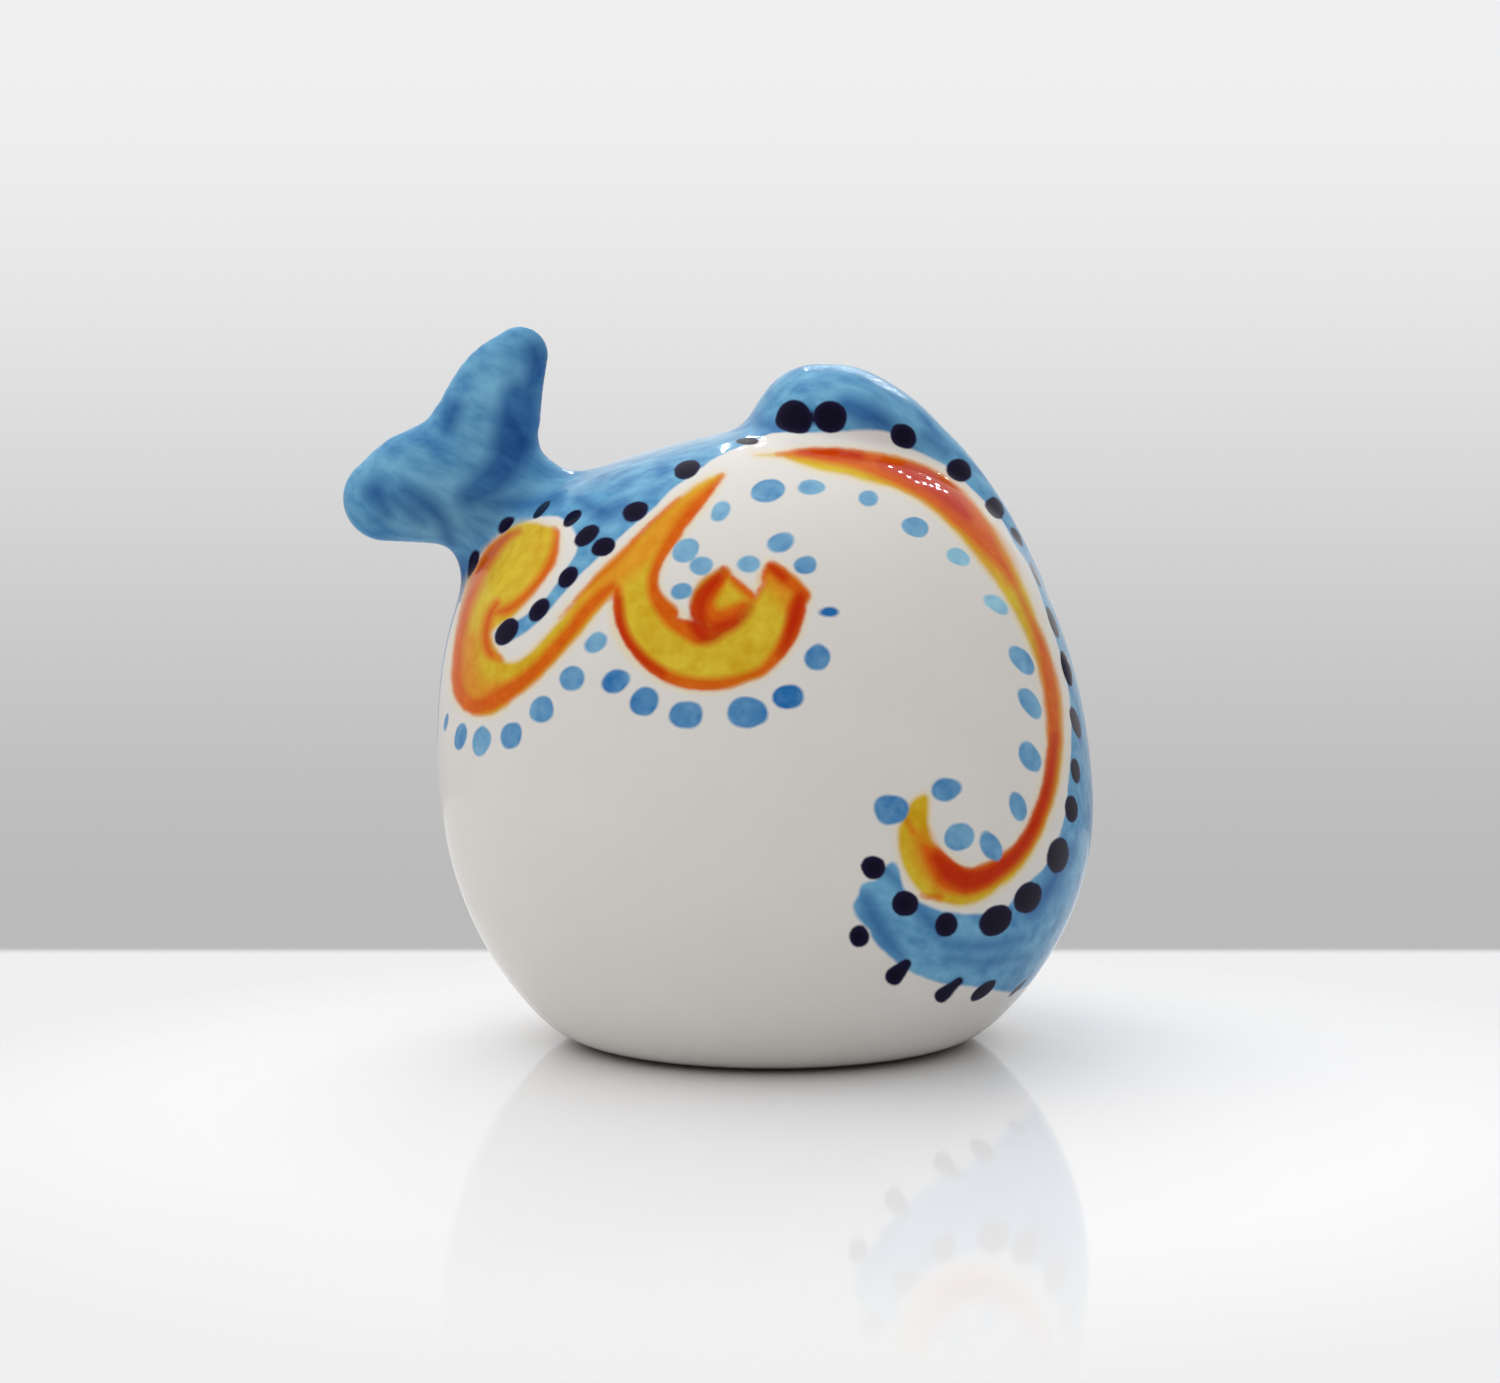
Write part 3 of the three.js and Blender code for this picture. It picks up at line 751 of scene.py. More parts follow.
    sky: tuple[Dab, ...] = (
        Dab((446, 722), 18, 6, 80, 0.7),
        Dab((460, 737), 27, 12, 80, 0.7),
        Dab((481, 741), 30, 18, 78, 0.6),
        Dab((511.5, 735.5), 28, 21, 75, 0.65),
        Dab((541.5, 710), 28, 25, 60, 0.6),
        Dab((572, 679), 26, 24, 30, 0.6),
        Dab((596, 642.5), 25, 18, 35, 0.5),
        Dab((615, 682), 31, 24, 20, 0.75),
        Dab((644, 702), 31, 28, 30, 0.8),
        Dab((686, 714), 35, 27, 8, 0.8),
        Dab((748, 712.5), 43, 31, 0, 0.75),
        Dab((787.5, 697), 33, 26, 10, 0.95),
        Dab((817.5, 657), 28, 25, 40, 0.8),
        Dab((721, 510.5), 24, 18, 40, 0.4),
        Dab((767.5, 490.5), 36, 23, 12, 0.65),
        Dab((811.5, 487), 27, 15, 0, 0.45),
        Dab((869, 498), 20, 17, 0, 0.4),
        Dab((916, 527), 28, 19, -15, 0.5),
        Dab((959, 557), 25, 16, -25, 0.2),
        Dab((996.5, 604), 28, 15, -40, 0.15),
        Dab((685, 550), 27, 21, 30, 0.5),
        Dab((701.5, 565.5), 23, 18, 20, 0.5),
        Dab((681.5, 591), 23, 17, 15, 0.5),
        Dab((749, 564.5), 23, 17, 12, 0.4),
        Dab((780.5, 542.5), 29, 20, 18, 0.5),
        Dab((806, 564.5), 23, 19, 10, 0.6),
        Dab((828.5, 612), 16, 8, 0, 1.2),
        Dab((1023, 661), 35, 18, -48, 0.45),
        Dab((1030, 703), 35, 18, -56, 0.5),
        Dab((1030.5, 757), 33, 19, -65, 0.55),
        Dab((1018, 807), 29, 17, -72, 0.55),
        Dab((991, 846), 31, 20, -60, 0.65),
        Dab((960, 837), 30, 27, 10, 0.6),
        Dab((947, 789), 30, 23, 0, 0.75),
        Dab((891, 809.5), 34, 30, 0, 0.7),
    )
    navy: tuple[Dab, ...] = (
        Dab((793.5, 417.5), 38, 33),
        Dab((830, 417), 35, 32),
        Dab((747, 441), 24, 10),
        Dab((687, 469), 27, 18, 22),
        Dab((635, 511), 27, 19, 25),
        Dab((603, 547), 26, 18, 25),
        Dab((586.5, 535.5), 30, 16, 40),
        Dab((572, 518), 24, 12, 42),
        Dab((541.5, 509.5), 24, 10, 46),
        Dab((506.5, 525), 22, 10, 48),
        Dab((473, 564), 31, 9, 72),
        Dab((568, 577), 25, 16, 52),
        Dab((539, 610), 27, 16, 52),
        Dab((506.5, 632), 31, 19, 52),
        Dab((903.5, 436), 28, 23, -40),
        Dab((959.5, 470.5), 26, 22, -50),
        Dab((995, 508), 24, 18, -60),
        Dab((1017, 537), 24, 12, -60),
        Dab((1035.5, 574.5), 29, 11, -65),
        Dab((1053, 622), 34, 12, -70),
        Dab((1076, 723), 33, 12, -75),
        Dab((1075.5, 770.5), 26, 11, -82),
        Dab((1072, 809), 28, 13, -85),
        Dab((1058.5, 855.5), 36, 22, 80),
        Dab((1028, 898), 34, 26, 58),
        Dab((996.5, 920.5), 37, 28, 40),
        Dab((946, 925), 25, 22, 50),
        Dab((905.5, 904), 27, 25),
        Dab((873.5, 868), 25, 24),
        Dab((858.5, 936.5), 23, 21, 80),
        Dab((983.5, 990.5), 31, 11, 39),
        Dab((1019, 987), 27, 5, 45),
    )
    drops: tuple[Stroke, ...] = (
        Stroke(((894, 976), (906.5, 964)), (10, 5)),
        Stroke(((941, 996), (959.5, 981)), (7, 4)),
    )
    # Darker blue strokes over the wash: brush streaks, and painted shade on the tail's root and on the dorsal
    # fin's flank below its crest.
    cobalt_and_shade: tuple[Stroke, ...] = (
        Stroke(((534, 350), (537, 372), (526, 390)), (8, 10, 6)),
        # Painted shade: the dark band down the front of the tail's root.
        Stroke(
            ((519, 400), (515, 422), (512, 445), (507, 462), (490, 482), (470, 496)),
            (17, 20, 20, 17, 17, 12),
        ),
        Stroke(((455, 408), (446, 430)), (8, 3)),
        Stroke(((375, 490), (388, 513)), (9, 5)),
        Stroke(((404, 490), (428, 505), (443, 523), (451, 545)), (5, 8, 6, 4)),
        Stroke(((394, 498), (410, 511), (424, 521)), (5, 5, 3)),
        Stroke(((480, 500), (520, 505), (556, 500)), (4, 8, 4)),
        Stroke(((762, 424), (780, 429)), (5, 4)),
        # Painted shade: darker blue on the dorsal fin's steep flank below its crest.
        Stroke(((846, 405), (866, 414), (888, 424)), (9, 12, 6)),
        Stroke(((925, 436), (946, 452)), (4, 4)),
        Stroke(((580, 500), (603, 512), (625, 505)), (3, 6, 3)),
        Stroke(((945, 944), (985, 946), (1022, 938)), (2, 3.5, 2)),
        Stroke(((947, 958), (985, 962), (1028, 956)), (1, 2, 1)),
        Stroke(((866, 900), (880, 930), (900, 955)), (5, 6, 3)),
        Stroke(((886, 870), (902, 886), (925, 915), (940, 935)), (3, 3, 5, 3)),
        Stroke(((1030, 915), (1048, 890), (1068, 850)), (4, 8, 6)),
    )
    rear_stripe_top: float = 80.0
    rear_stripe_end: float = 52.0
    rear_stripe_half: tuple[float, float] = (4.0, 2.5)


@dataclass
class Painter:
    """Puts the ornament on the fish: the near side as the photograph shows it, the far side mirrored."""

    view: PhotoView
    body: BodyForm
    ornament: Ornament
    surface: Skin
    steps: int = 3
    most_stretch: float = 0.45
    least_reach: float = 2.0
    pixel_size: float = 0.165
    over_edge: float = 40.0
    over_top: float = 140.0
    stripe_steps: int = 8
    tree: BVHTree = field(init=False)
    centre: Pixel = (770.0, 740.0)

    def __post_init__(self) -> None:
        """Index the surface for the rays."""
        self.tree = BVHTree.FromPolygons(self.surface.points.tolist(), self.surface.triangles.tolist())

    def touch(self, pixel: Pixel) -> tuple[np.ndarray, np.ndarray]:
        """Where a pixel of the photograph lies on the fish, and the direction that the fish faces there."""
        place = np.array(pixel, float)
        inward = np.array(self.centre) - place
        inward /= np.linalg.norm(inward)
        while True:
            hit = self.tree.ray_cast(self.view.place(), self.view.ray(tuple(place)))
            if hit[0] is not None:
                return np.array(hit[0]), np.array(hit[1])
            place = place + inward

    def stretch(self, pixel: np.ndarray, way: np.ndarray, reach: float) -> np.ndarray:
        """What one pixel of the photograph comes to on the fish.

        Args:
            pixel: The middle of the stretch that is measured.
            way: Its direction in the photograph, of length 1.
            reach: Half its length, in pixels.

        Returns:
            The vector on the fish, in millimetres for each pixel.
        """
        reach = max(reach, self.least_reach)
        ahead = self.touch(tuple(pixel + reach * way))[0] - self.touch(tuple(pixel - reach * way))[0]
        ahead /= 2 * reach
        return ahead * min(1.0, self.most_stretch / np.linalg.norm(ahead))

    def strokes(self, points: np.ndarray, strokes: Sequence[Stroke]) -> np.ndarray:
        """Distance to the edge of the nearest of some strokes, as they lie in the photograph."""
        seen = self.view.pixels(points)
        nearest = np.full(len(points), np.inf)
        for stroke in strokes:
            trail = smooth_path(np.array(stroke.trail), self.steps)
            share = np.linspace(0.0, 1.0, len(trail))
            half = np.interp(share, np.linspace(0.0, 1.0, len(stroke.half)), stroke.half)
            nearest = np.minimum(nearest, rod_distance(seen, trail, half) * self.pixel_size)
        return nearest

    def dabs(self, points: np.ndarray, dabs: Sequence[Dab]) -> tuple[np.ndarray, np.ndarray]:
        """Distance to the edge of the nearest of some dabs, and the tone of that dab."""
        nearest = np.full(len(points), np.inf)
        tone = np.zeros(len(points))
        for dab in dabs:
            lean = math.radians(dab.lean)
            pixel = np.array(dab.place)
            halves = (dab.length / 2, dab.breadth / 2)
            ways = np.array(((math.cos(lean), -math.sin(lean)), (math.sin(lean), math.cos(lean))))
            ahead, side = (half * self.stretch(pixel, way, half) for half, way in zip(halves, ways))
            sizes = np.linalg.norm(ahead), np.linalg.norm(side)
            facing = np.cross(ahead, side)
            facing *= max(sizes) / np.linalg.norm(facing)
            away = points - self.touch(dab.place)[0]
            share = np.linalg.norm(np.linalg.solve(np.column_stack((ahead, side, facing)), away.T), axis=0)
            gap = (share - 1.0) * min(sizes)
            tone = np.where(gap < nearest, dab.tone, tone)
            nearest = np.minimum(nearest, gap)
        return nearest, tone

    def wash(self, points: np.ndarray) -> np.ndarray:
        """Distance to the border of the blue wash, which covers the back, the fins and the front."""
        pixels = smooth_path(np.array(self.ornament.wash_border), self.steps)
        border = np.array([self.touch(tuple(pixel))[0] for pixel in pixels])
        chart = self.body.chart(border)
        first, last = chart[0], chart[-1]
        ahead, behind = -self.over_edge, HALF_TURN + self.over_edge
        corners = [(ahead, last[1]), (ahead, self.over_top), (behind, self.over_top), (behind, first[1])]
        outline = np.concatenate((chart, corners))
        bearing, height = self.body.chart(points).T
        inside = np.zeros(len(points), bool)
        for (b0, h0), (b1, h1) in zip(outline, np.roll(outline, -1, axis=0)):
            if h0 == h1:
                continue
            crosses = (height < h0) != (height < h1)
            inside ^= crosses & (bearing < b0 + (height - h0) * (b1 - b0) / (h1 - h0))
        lowest = math.asin((last[1] - self.body.widest_height) / self.body.belly_depth)
        front = self.body.place(lowest, 0.0)
        edge = np.concatenate((border, front.reshape(1, 3)))
        gap = rod_distance(points, edge, np.zeros(len(edge)))
        return np.where(inside, -gap, gap)

    def rear_stripe(self, points: np.ndarray) -> np.ndarray:
        """Distance to the edge of the thin stripe that runs down behind from under the tail."""
        ornament = self.ornament
        heights = np.linspace(ornament.rear_stripe_top, ornament.rear_stripe_end, self.stripe_steps)
        path = []
        for height in heights:
            rise = height - self.body.widest_height
            path.append(self.body.place(math.asin(rise / self.body.crown_height), math.pi))
        wide, thin = ornament.rear_stripe_half
        return rod_distance(points, np.array(path), np.linspace(wide, thin, len(heights)))

    def layers(self, points: np.ndarray) -> dict[Layer, np.ndarray]:
        """The distance to the edge of each layer of colour at each point."""
        near = points.copy()
        near[:, 1] = -np.abs(near[:, 1])
        ornament = self.ornament
        sky, tone = self.dabs(near, ornament.sky)
        navy, _ = self.dabs(near, ornament.navy)
        stripe = self.rear_stripe(near)
        return {
            Layer.WASH: np.minimum(self.wash(near), stripe),
            # Darker strokes, partly painted shade, together with the rear stripe.
            Layer.COBALT_AND_SHADE: np.minimum(self.strokes(near, ornament.cobalt_and_shade), stripe),
            Layer.YELLOW: self.strokes(near, ornament.yellow),
            Layer.AMBER: self.strokes(near, ornament.amber),
            Layer.ORANGE: self.strokes(near, ornament.orange),
            Layer.EMBER: self.strokes(near, ornament.ember),
            Layer.SKY: sky,
            Layer.TONE: tone,
            Layer.NAVY: np.minimum(navy, self.strokes(near, ornament.drops)),
        }


Value = Union["Wire", float]


class Wire:
    """A shader socket that sums can be written with."""

    def __init__(self, bench: "Bench", socket: bpy.types.NodeSocket) -> None:
        """Keep the socket and the bench that its node stands on."""
        self.bench = bench
        self.socket = socket

    def __add__(self, other: Value) -> "Wire":
        """This plus another value."""
        return self.bench.maths("ADD", self, other)

    def __radd__(self, other: Value) -> "Wire":
        """Another value plus this."""
        return self.bench.maths("ADD", other, self)

    def __sub__(self, other: Value) -> "Wire":
        """This less another value."""
        return self.bench.maths("SUBTRACT", self, other)

    def __rsub__(self, other: Value) -> "Wire":
        """Another value less this."""
        return self.bench.maths("SUBTRACT", other, self)

    def __mul__(self, other: Value) -> "Wire":
        """This times another value."""
        return self.bench.maths("MULTIPLY", self, other)

    def __rmul__(self, other: Value) -> "Wire":
        """Another value times this."""
        return self.bench.maths("MULTIPLY", other, self)

    def __truediv__(self, other: Value) -> "Wire":
        """This divided by another value."""
        return self.bench.maths("DIVIDE", self, other)

    def clamp(self) -> "Wire":
        """This, kept between 0 and 1."""
        return self.bench.add("ShaderNodeClamp", {}, {"Value": self})

    def covers(self, soft: float) -> "Wire":
        """How much of a layer covers, where this is the distance to its edge and soft is half its blur."""
        return (0.5 - self * (0.5 / soft)).clamp()


class Bench:
    """The node tree of a material or of the world, and the ways in which nodes are added to it."""

    patch_roughness = 0.55

    def __init__(self, tree: bpy.types.NodeTree) -> None:
        """Start with an empty tree."""
        self.tree = tree
        tree.nodes.clear()

    def add(
        self,
        kind: str,
        settings: dict[str, Any],
        inputs: dict[Union[str, int], Any],
        output: Union[str, int] = 0,
    ) -> Wire:
        """Add a node.

        Args:
            kind: The node's type.
            settings: What is set on the node itself, before its sockets.
            inputs: A value or a wire for each socket that is set, by name or number.
            output: The socket that is returned, by name or number.

        Returns:
            The wire from that socket.
        """
        node = self.tree.nodes.new(kind)
        for name, value in settings.items():
            setattr(node, name, value)
        for name, value in inputs.items():
            if isinstance(value, Wire):
                self.tree.links.new(value.socket, node.inputs[name])
            else:
                node.inputs[name].default_value = value
        return Wire(self, node.outputs[output]) if len(node.outputs) else Wire(self, node.inputs[0])

    def maths(self, operation: str, first: Value, second: Value) -> Wire:
        """Add a sum of two values."""
        return self.add("ShaderNodeMath", {"operation": operation}, {0: first, 1: second})

    def mix(self, base: Any, over: Any, share: Value) -> Wire:
        """Lay one colour over another.

        Args:
            base: The colour below, as a wire or as four numbers.
            over: The colour above.
            share: How much of it covers.

        Returns:
            The mixed colour.
        """
        settings = {"data_type": "RGBA", "clamp_factor": True}
        return self.add("ShaderNodeMix", settings, {0: share, 6: base, 7: over}, 2)

    def noise(self, place: Wire, scale: float, detail: float = 2.0) -> Wire:
        """Soft uneven patches, about 0.5 on average. scale is their number in a metre."""
        inputs = {"Vector": place, "Scale": scale, "Detail": detail, "Roughness": self.patch_roughness}
        return self.add("ShaderNodeTexNoise", {}, inputs, 0)

    def stretched(self, place: Wire, size: Triple, turn: Triple) -> Wire:
        """Places turned and stretched so that patches become streaks."""
        inputs = {"Vector": place, "Scale": size, "Rotation": tuple(math.radians(a) for a in turn)}
        return self.add("ShaderNodeMapping", {"vector_type": "TEXTURE"}, inputs)

    def layer(self, layer: Layer) -> Wire:
        """The distance to the edge of a layer of colour, in millimetres."""
        return self.add("ShaderNodeAttribute", {"attribute_name": layer.value}, {}, "Fac")


def new_finish(name: str) -> tuple[bpy.types.Material, Bench]:
    """A new material, and the empty bench that its nodes are added on."""
    material = bpy.data.materials.new(name)
    material.use_nodes = True
    return material, Bench(material.node_tree)


def linear(shade: Shade) -> tuple[float, float, float, float]:
    """A colour as the shader takes it, from the usual 0 to 255."""
    parts = (value / 255 for value in shade)
    return (*(p / 12.92 if p <= 0.04045 else ((p + 0.055) / 1.055) ** 2.4 for p in parts), 1.0)


@dataclass(frozen=True)
class Pigment:
    """A glaze colour where it lies thin and where it has pooled.

    blur is half the width of its soft edge, in millimetres. cover is how much it hides of what is below.
    """

    thin: Shade
    full: Shade
    blur: float = 0.3
    cover: float = 1.0

    def spread(self, bench: Bench, share: Value) -> Wire:
        """The colour at a share of the way from thin to pooled."""
        return bench.mix(linear(self.thin), linear(self.full), share)

    def lay(self, below: Wire, share: Value, edge: Wire, within: Value = 1.0) -> Wire:
        """Lay the colour over another.

        Args:
            below: The colour below.
            share: How far this colour has pooled, from 0 to 1.
            edge: The distance to its edge.
            within: How much of it is kept.

        Returns:
            The two colours together.
        """
        hidden = edge.covers(self.blur) * self.cover * within
        return below.bench.mix(below, self.spread(below.bench, share), hidden)


@dataclass(frozen=True)
class Pooling:
    """How two kinds of uneven patches make a colour pool: the first one's share, contrast and level."""

    share: float
    contrast: float
    level: float

    def blend(self, first: Wire, second: Wire) -> Wire:
        """How far the colour has pooled, from 0 to 1."""
        patches = first * self.share + second * (1.0 - self.share)
        return ((patches - 0.5) * self.contrast + self.level).clamp()


@dataclass(frozen=True)
class PaintedGlaze:
    """Glossy tin glaze with the brushed colours sunk into it, darker blue strokes that are partly painted
    shade, and bare clay where it was wiped off.
    """

    white: Pigment = Pigment((234, 230, 225), (228, 224, 218))
    blue: Pigment = Pigment((128, 190, 222), (64, 128, 182))
    # Darker blue strokes, partly painted shade on the fins.
    cobalt_and_shade: Pigment = Pigment((52, 114, 176), (22, 72, 138), 1.3, 0.85)
    halo: Shade = (244, 214, 140)
    halo_outside: float = 0.3
    halo_blur: float = 0.65
    halo_cover: float = 0.45
    yellow: Pigment = Pigment((228, 200, 58), (212, 162, 22), 0.4)
    amber: Pigment = Pigment((232, 152, 40), (220, 122, 18), 1.2, 0.85)
    orange: Pigment = Pigment((228, 110, 18), (214, 78, 0), 0.65, 0.95)
    ember: Pigment = Pigment((202, 44, 0), (188, 18, 0), 0.8, 0.9)
    sky: Pigment = Pigment((160, 212, 232), (38, 112, 178), 0.22)
    navy: Pigment = Pigment((28, 22, 58), (14, 10, 34), 0.18)
    clay: Pigment = Pigment((226, 208, 184), (206, 184, 156))
    gloss: float = 0.06
    refraction: float = 1.13
    clay_roughness: float = 0.8
    wash_pooling: Pooling = Pooling(0.65, 3.0, 0.5)
    yellow_pooling: Pooling = Pooling(0.5, 3.2, 0.45)
    orange_pooling: Pooling = Pooling(0.4, 2.6, 0.6)
    sky_pooling: tuple[float, float] = (0.7, 0.6)
    navy_pooling: float = 0.9
    broad_patches: float = 85.0
    fine_patches: float = 430.0
    uneven_patches: float = 210.0
    streaks: float = 330.0
    streak_size: Triple = (3.4, 1.0, 1.0)
    streak_turn: Triple = (0.0, 28.0, 0.0)
    edge_wander: float = 0.7
    dab_wobble: float = 1.0
    wash_wander: float = 0.6
    cobalt_and_shade_wander: float = 3.0
    yellow_wander: float = 0.7
    yellow_inset: float = 0.25
    orange_outside: float = 0.2
    orange_outside_blur: float = 0.3
    sky_wander: float = 0.4
    navy_wander: float = 0.5
    navy_wobble: float = 0.6
    ripples: float = 55.0
    ripple_strength: float = 0.04
    ripple_depth: float = 0.002

    def make(self) -> bpy.types.Material:
        """Build the material."""
        material, bench = new_finish("painted_glaze")
        place = bench.add("ShaderNodeTexCoord", {}, {}, "Object")
        broad = bench.noise(place, self.broad_patches, 3.0)
        fine = bench.noise(place, self.fine_patches, 2.0)
        streaked = bench.stretched(place, self.streak_size, self.streak_turn)
        streak = bench.noise(streaked, self.streaks, 3.0)
        uneven = bench.noise(place, self.uneven_patches, 1.0)
        wander = (fine - 0.5) * self.edge_wander
        wobble = (uneven - 0.5) * self.dab_wobble

        wash = bench.layer(Layer.WASH) + wander * self.wash_wander
        depth = self.wash_pooling.blend(streak, broad)
        colour = self.blue.lay(self.white.spread(bench, broad), depth, wash)
        # Darker blue strokes over the wash, partly painted shade on the tail's root and the dorsal fin.
        brushed = bench.layer(Layer.COBALT_AND_SHADE) + (streak - 0.5) * self.cobalt_and_shade_wander
        colour = self.cobalt_and_shade.lay(colour, depth, brushed, wash.covers(self.blue.blur))

        yellow = bench.layer(Layer.YELLOW)
        orange = bench.layer(Layer.ORANGE)
        fringe = (bench.maths("MINIMUM", yellow, orange) - self.halo_outside).covers(self.halo_blur)
        colour = bench.mix(colour, linear(self.halo), fringe * self.halo_cover)
        cloud = self.yellow_pooling.blend(broad, fine)
        border = yellow + wander * self.yellow_wander
        colour = self.yellow.lay(colour, cloud, border + self.yellow_inset)
        colour = self.amber.lay(colour, cloud, bench.layer(Layer.AMBER) + wander)
        deep = self.orange_pooling.blend(streak, fine)
        kept = (border - self.orange_outside).covers(self.orange_outside_blur)
        colour = self.orange.lay(colour, deep, orange + wander, kept)
        colour = self.ember.lay(colour, fine, bench.layer(Layer.EMBER) + wander, kept)

        by_broad, by_fine = self.sky_pooling
        pooled = (bench.layer(Layer.TONE) + (broad - 0.5) * by_broad + (fine - 0.5) * by_fine).clamp()
        sky = bench.layer(Layer.SKY) + wobble + wander * self.sky_wander
        colour = self.sky.lay(colour, pooled, sky)
        navy = bench.layer(Layer.NAVY)
        inky = (navy * -self.navy_pooling).clamp()
        dots = navy + wobble * self.navy_wobble + wander * self.navy_wander
        colour = self.navy.lay(colour, inky, dots)

        wiped = bench.layer(Layer.BARE)
        colour = self.clay.lay(colour, fine, wiped)
        bare = wiped.covers(self.clay.blur)
        glossy = 1.0 - bare
        ripple = bench.noise(place, self.ripples, 1.0)
        inputs = {"Strength": self.ripple_strength, "Distance": self.ripple_depth, "Height": ripple}
        bump = bench.add("ShaderNodeBump", {}, inputs)
        shader = bench.add(
            "ShaderNodeBsdfPrincipled",
            {},
            {
                "Base Color": colour,
                "Roughness": bare * self.clay_roughness + glossy * self.gloss,
                "IOR": self.refraction,
                "Normal": bump,
            },
        )
        bench.add("ShaderNodeOutputMaterial", {}, {"Surface": shader})
        return material


@dataclass(frozen=True)
class PlainGlaze:
    """Glossy glaze of one colour that pools a little, for the small pieces of the face, with a second colour
    for a painted glint.
    """

    name: str
    ground: Pigment
    # over is the colour of the painted glint, a painted highlight.
    over: Pigment
    gloss: float = 0.05
    gloss_wander: float = 0.06
    refraction: float = 1.13
    patches: float = 500.0
    contrast: float = 2.4
    glint_blur: float = 0.12

    def make(self) -> bpy.types.Material:
        """Build the material. The second colour, a painted white glint, covers where the glint layer does."""
        material, bench = new_finish(self.name)
        place = bench.add("ShaderNodeTexCoord", {}, {}, "Object")
        fine = bench.noise(place, self.patches, 2.0)
        cloud = ((fine - 0.5) * self.contrast + 0.5).clamp()
        glint_cover = bench.layer(Layer.PAINTED_GLINT).covers(self.glint_blur)
        colour = bench.mix(self.ground.spread(bench, cloud), self.over.spread(bench, cloud), glint_cover)
        shader = bench.add(
            "ShaderNodeBsdfPrincipled",
            {},
            {
                "Base Color": colour,
                "Roughness": fine * self.gloss_wander + self.gloss,
                "IOR": self.refraction,
            },
        )
        bench.add("ShaderNodeOutputMaterial", {}, {"Surface": shader})
        return material


@dataclass(frozen=True)
class Piece:
    """A finished mesh, and how it takes its place in the part."""

    name: str
    node: str
    slot: Slot

    def make(
        self, skin: Skin, layers: dict[Layer, np.ndarray], axis: Vector, material: bpy.types.Material
    ) -> bpy.types.Object:
        """Add the piece to the scene.

        Args:
            skin: Its surface, in millimetres about the body's axis.
            layers: The distance to the edge of each layer of colour, at each point.
            axis: Where the body's axis stands in the part's frame, in millimetres.
            material: Its finish.

        Returns:
            The piece, riding on the only body in place of its node.
        """
        mesh = bpy.data.meshes.new(self.name)
        mesh.from_pydata(((skin.points + np.array(axis)) * MM).tolist(), [], skin.triangles.tolist())
        mesh.polygons.foreach_set("use_smooth", np.ones(len(mesh.polygons), bool))
        for layer, values in layers.items():
            attribute = mesh.attributes.new(layer.value, "FLOAT", "POINT")
            attribute.data.foreach_set("value", values.astype(np.float32))
        mesh.normals_split_custom_set_from_vertices(skin.normals.tolist())
        mesh.materials.append(material)
        piece = bpy.data.objects.new(self.name, mesh)
        bpy.context.scene.collection.objects.link(piece)
        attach(piece, ONLY_BODY)
        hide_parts(self.node)
        log.info("%s: %d points, %d faces", self.name, len(skin.points), len(skin.triangles))
        return piece


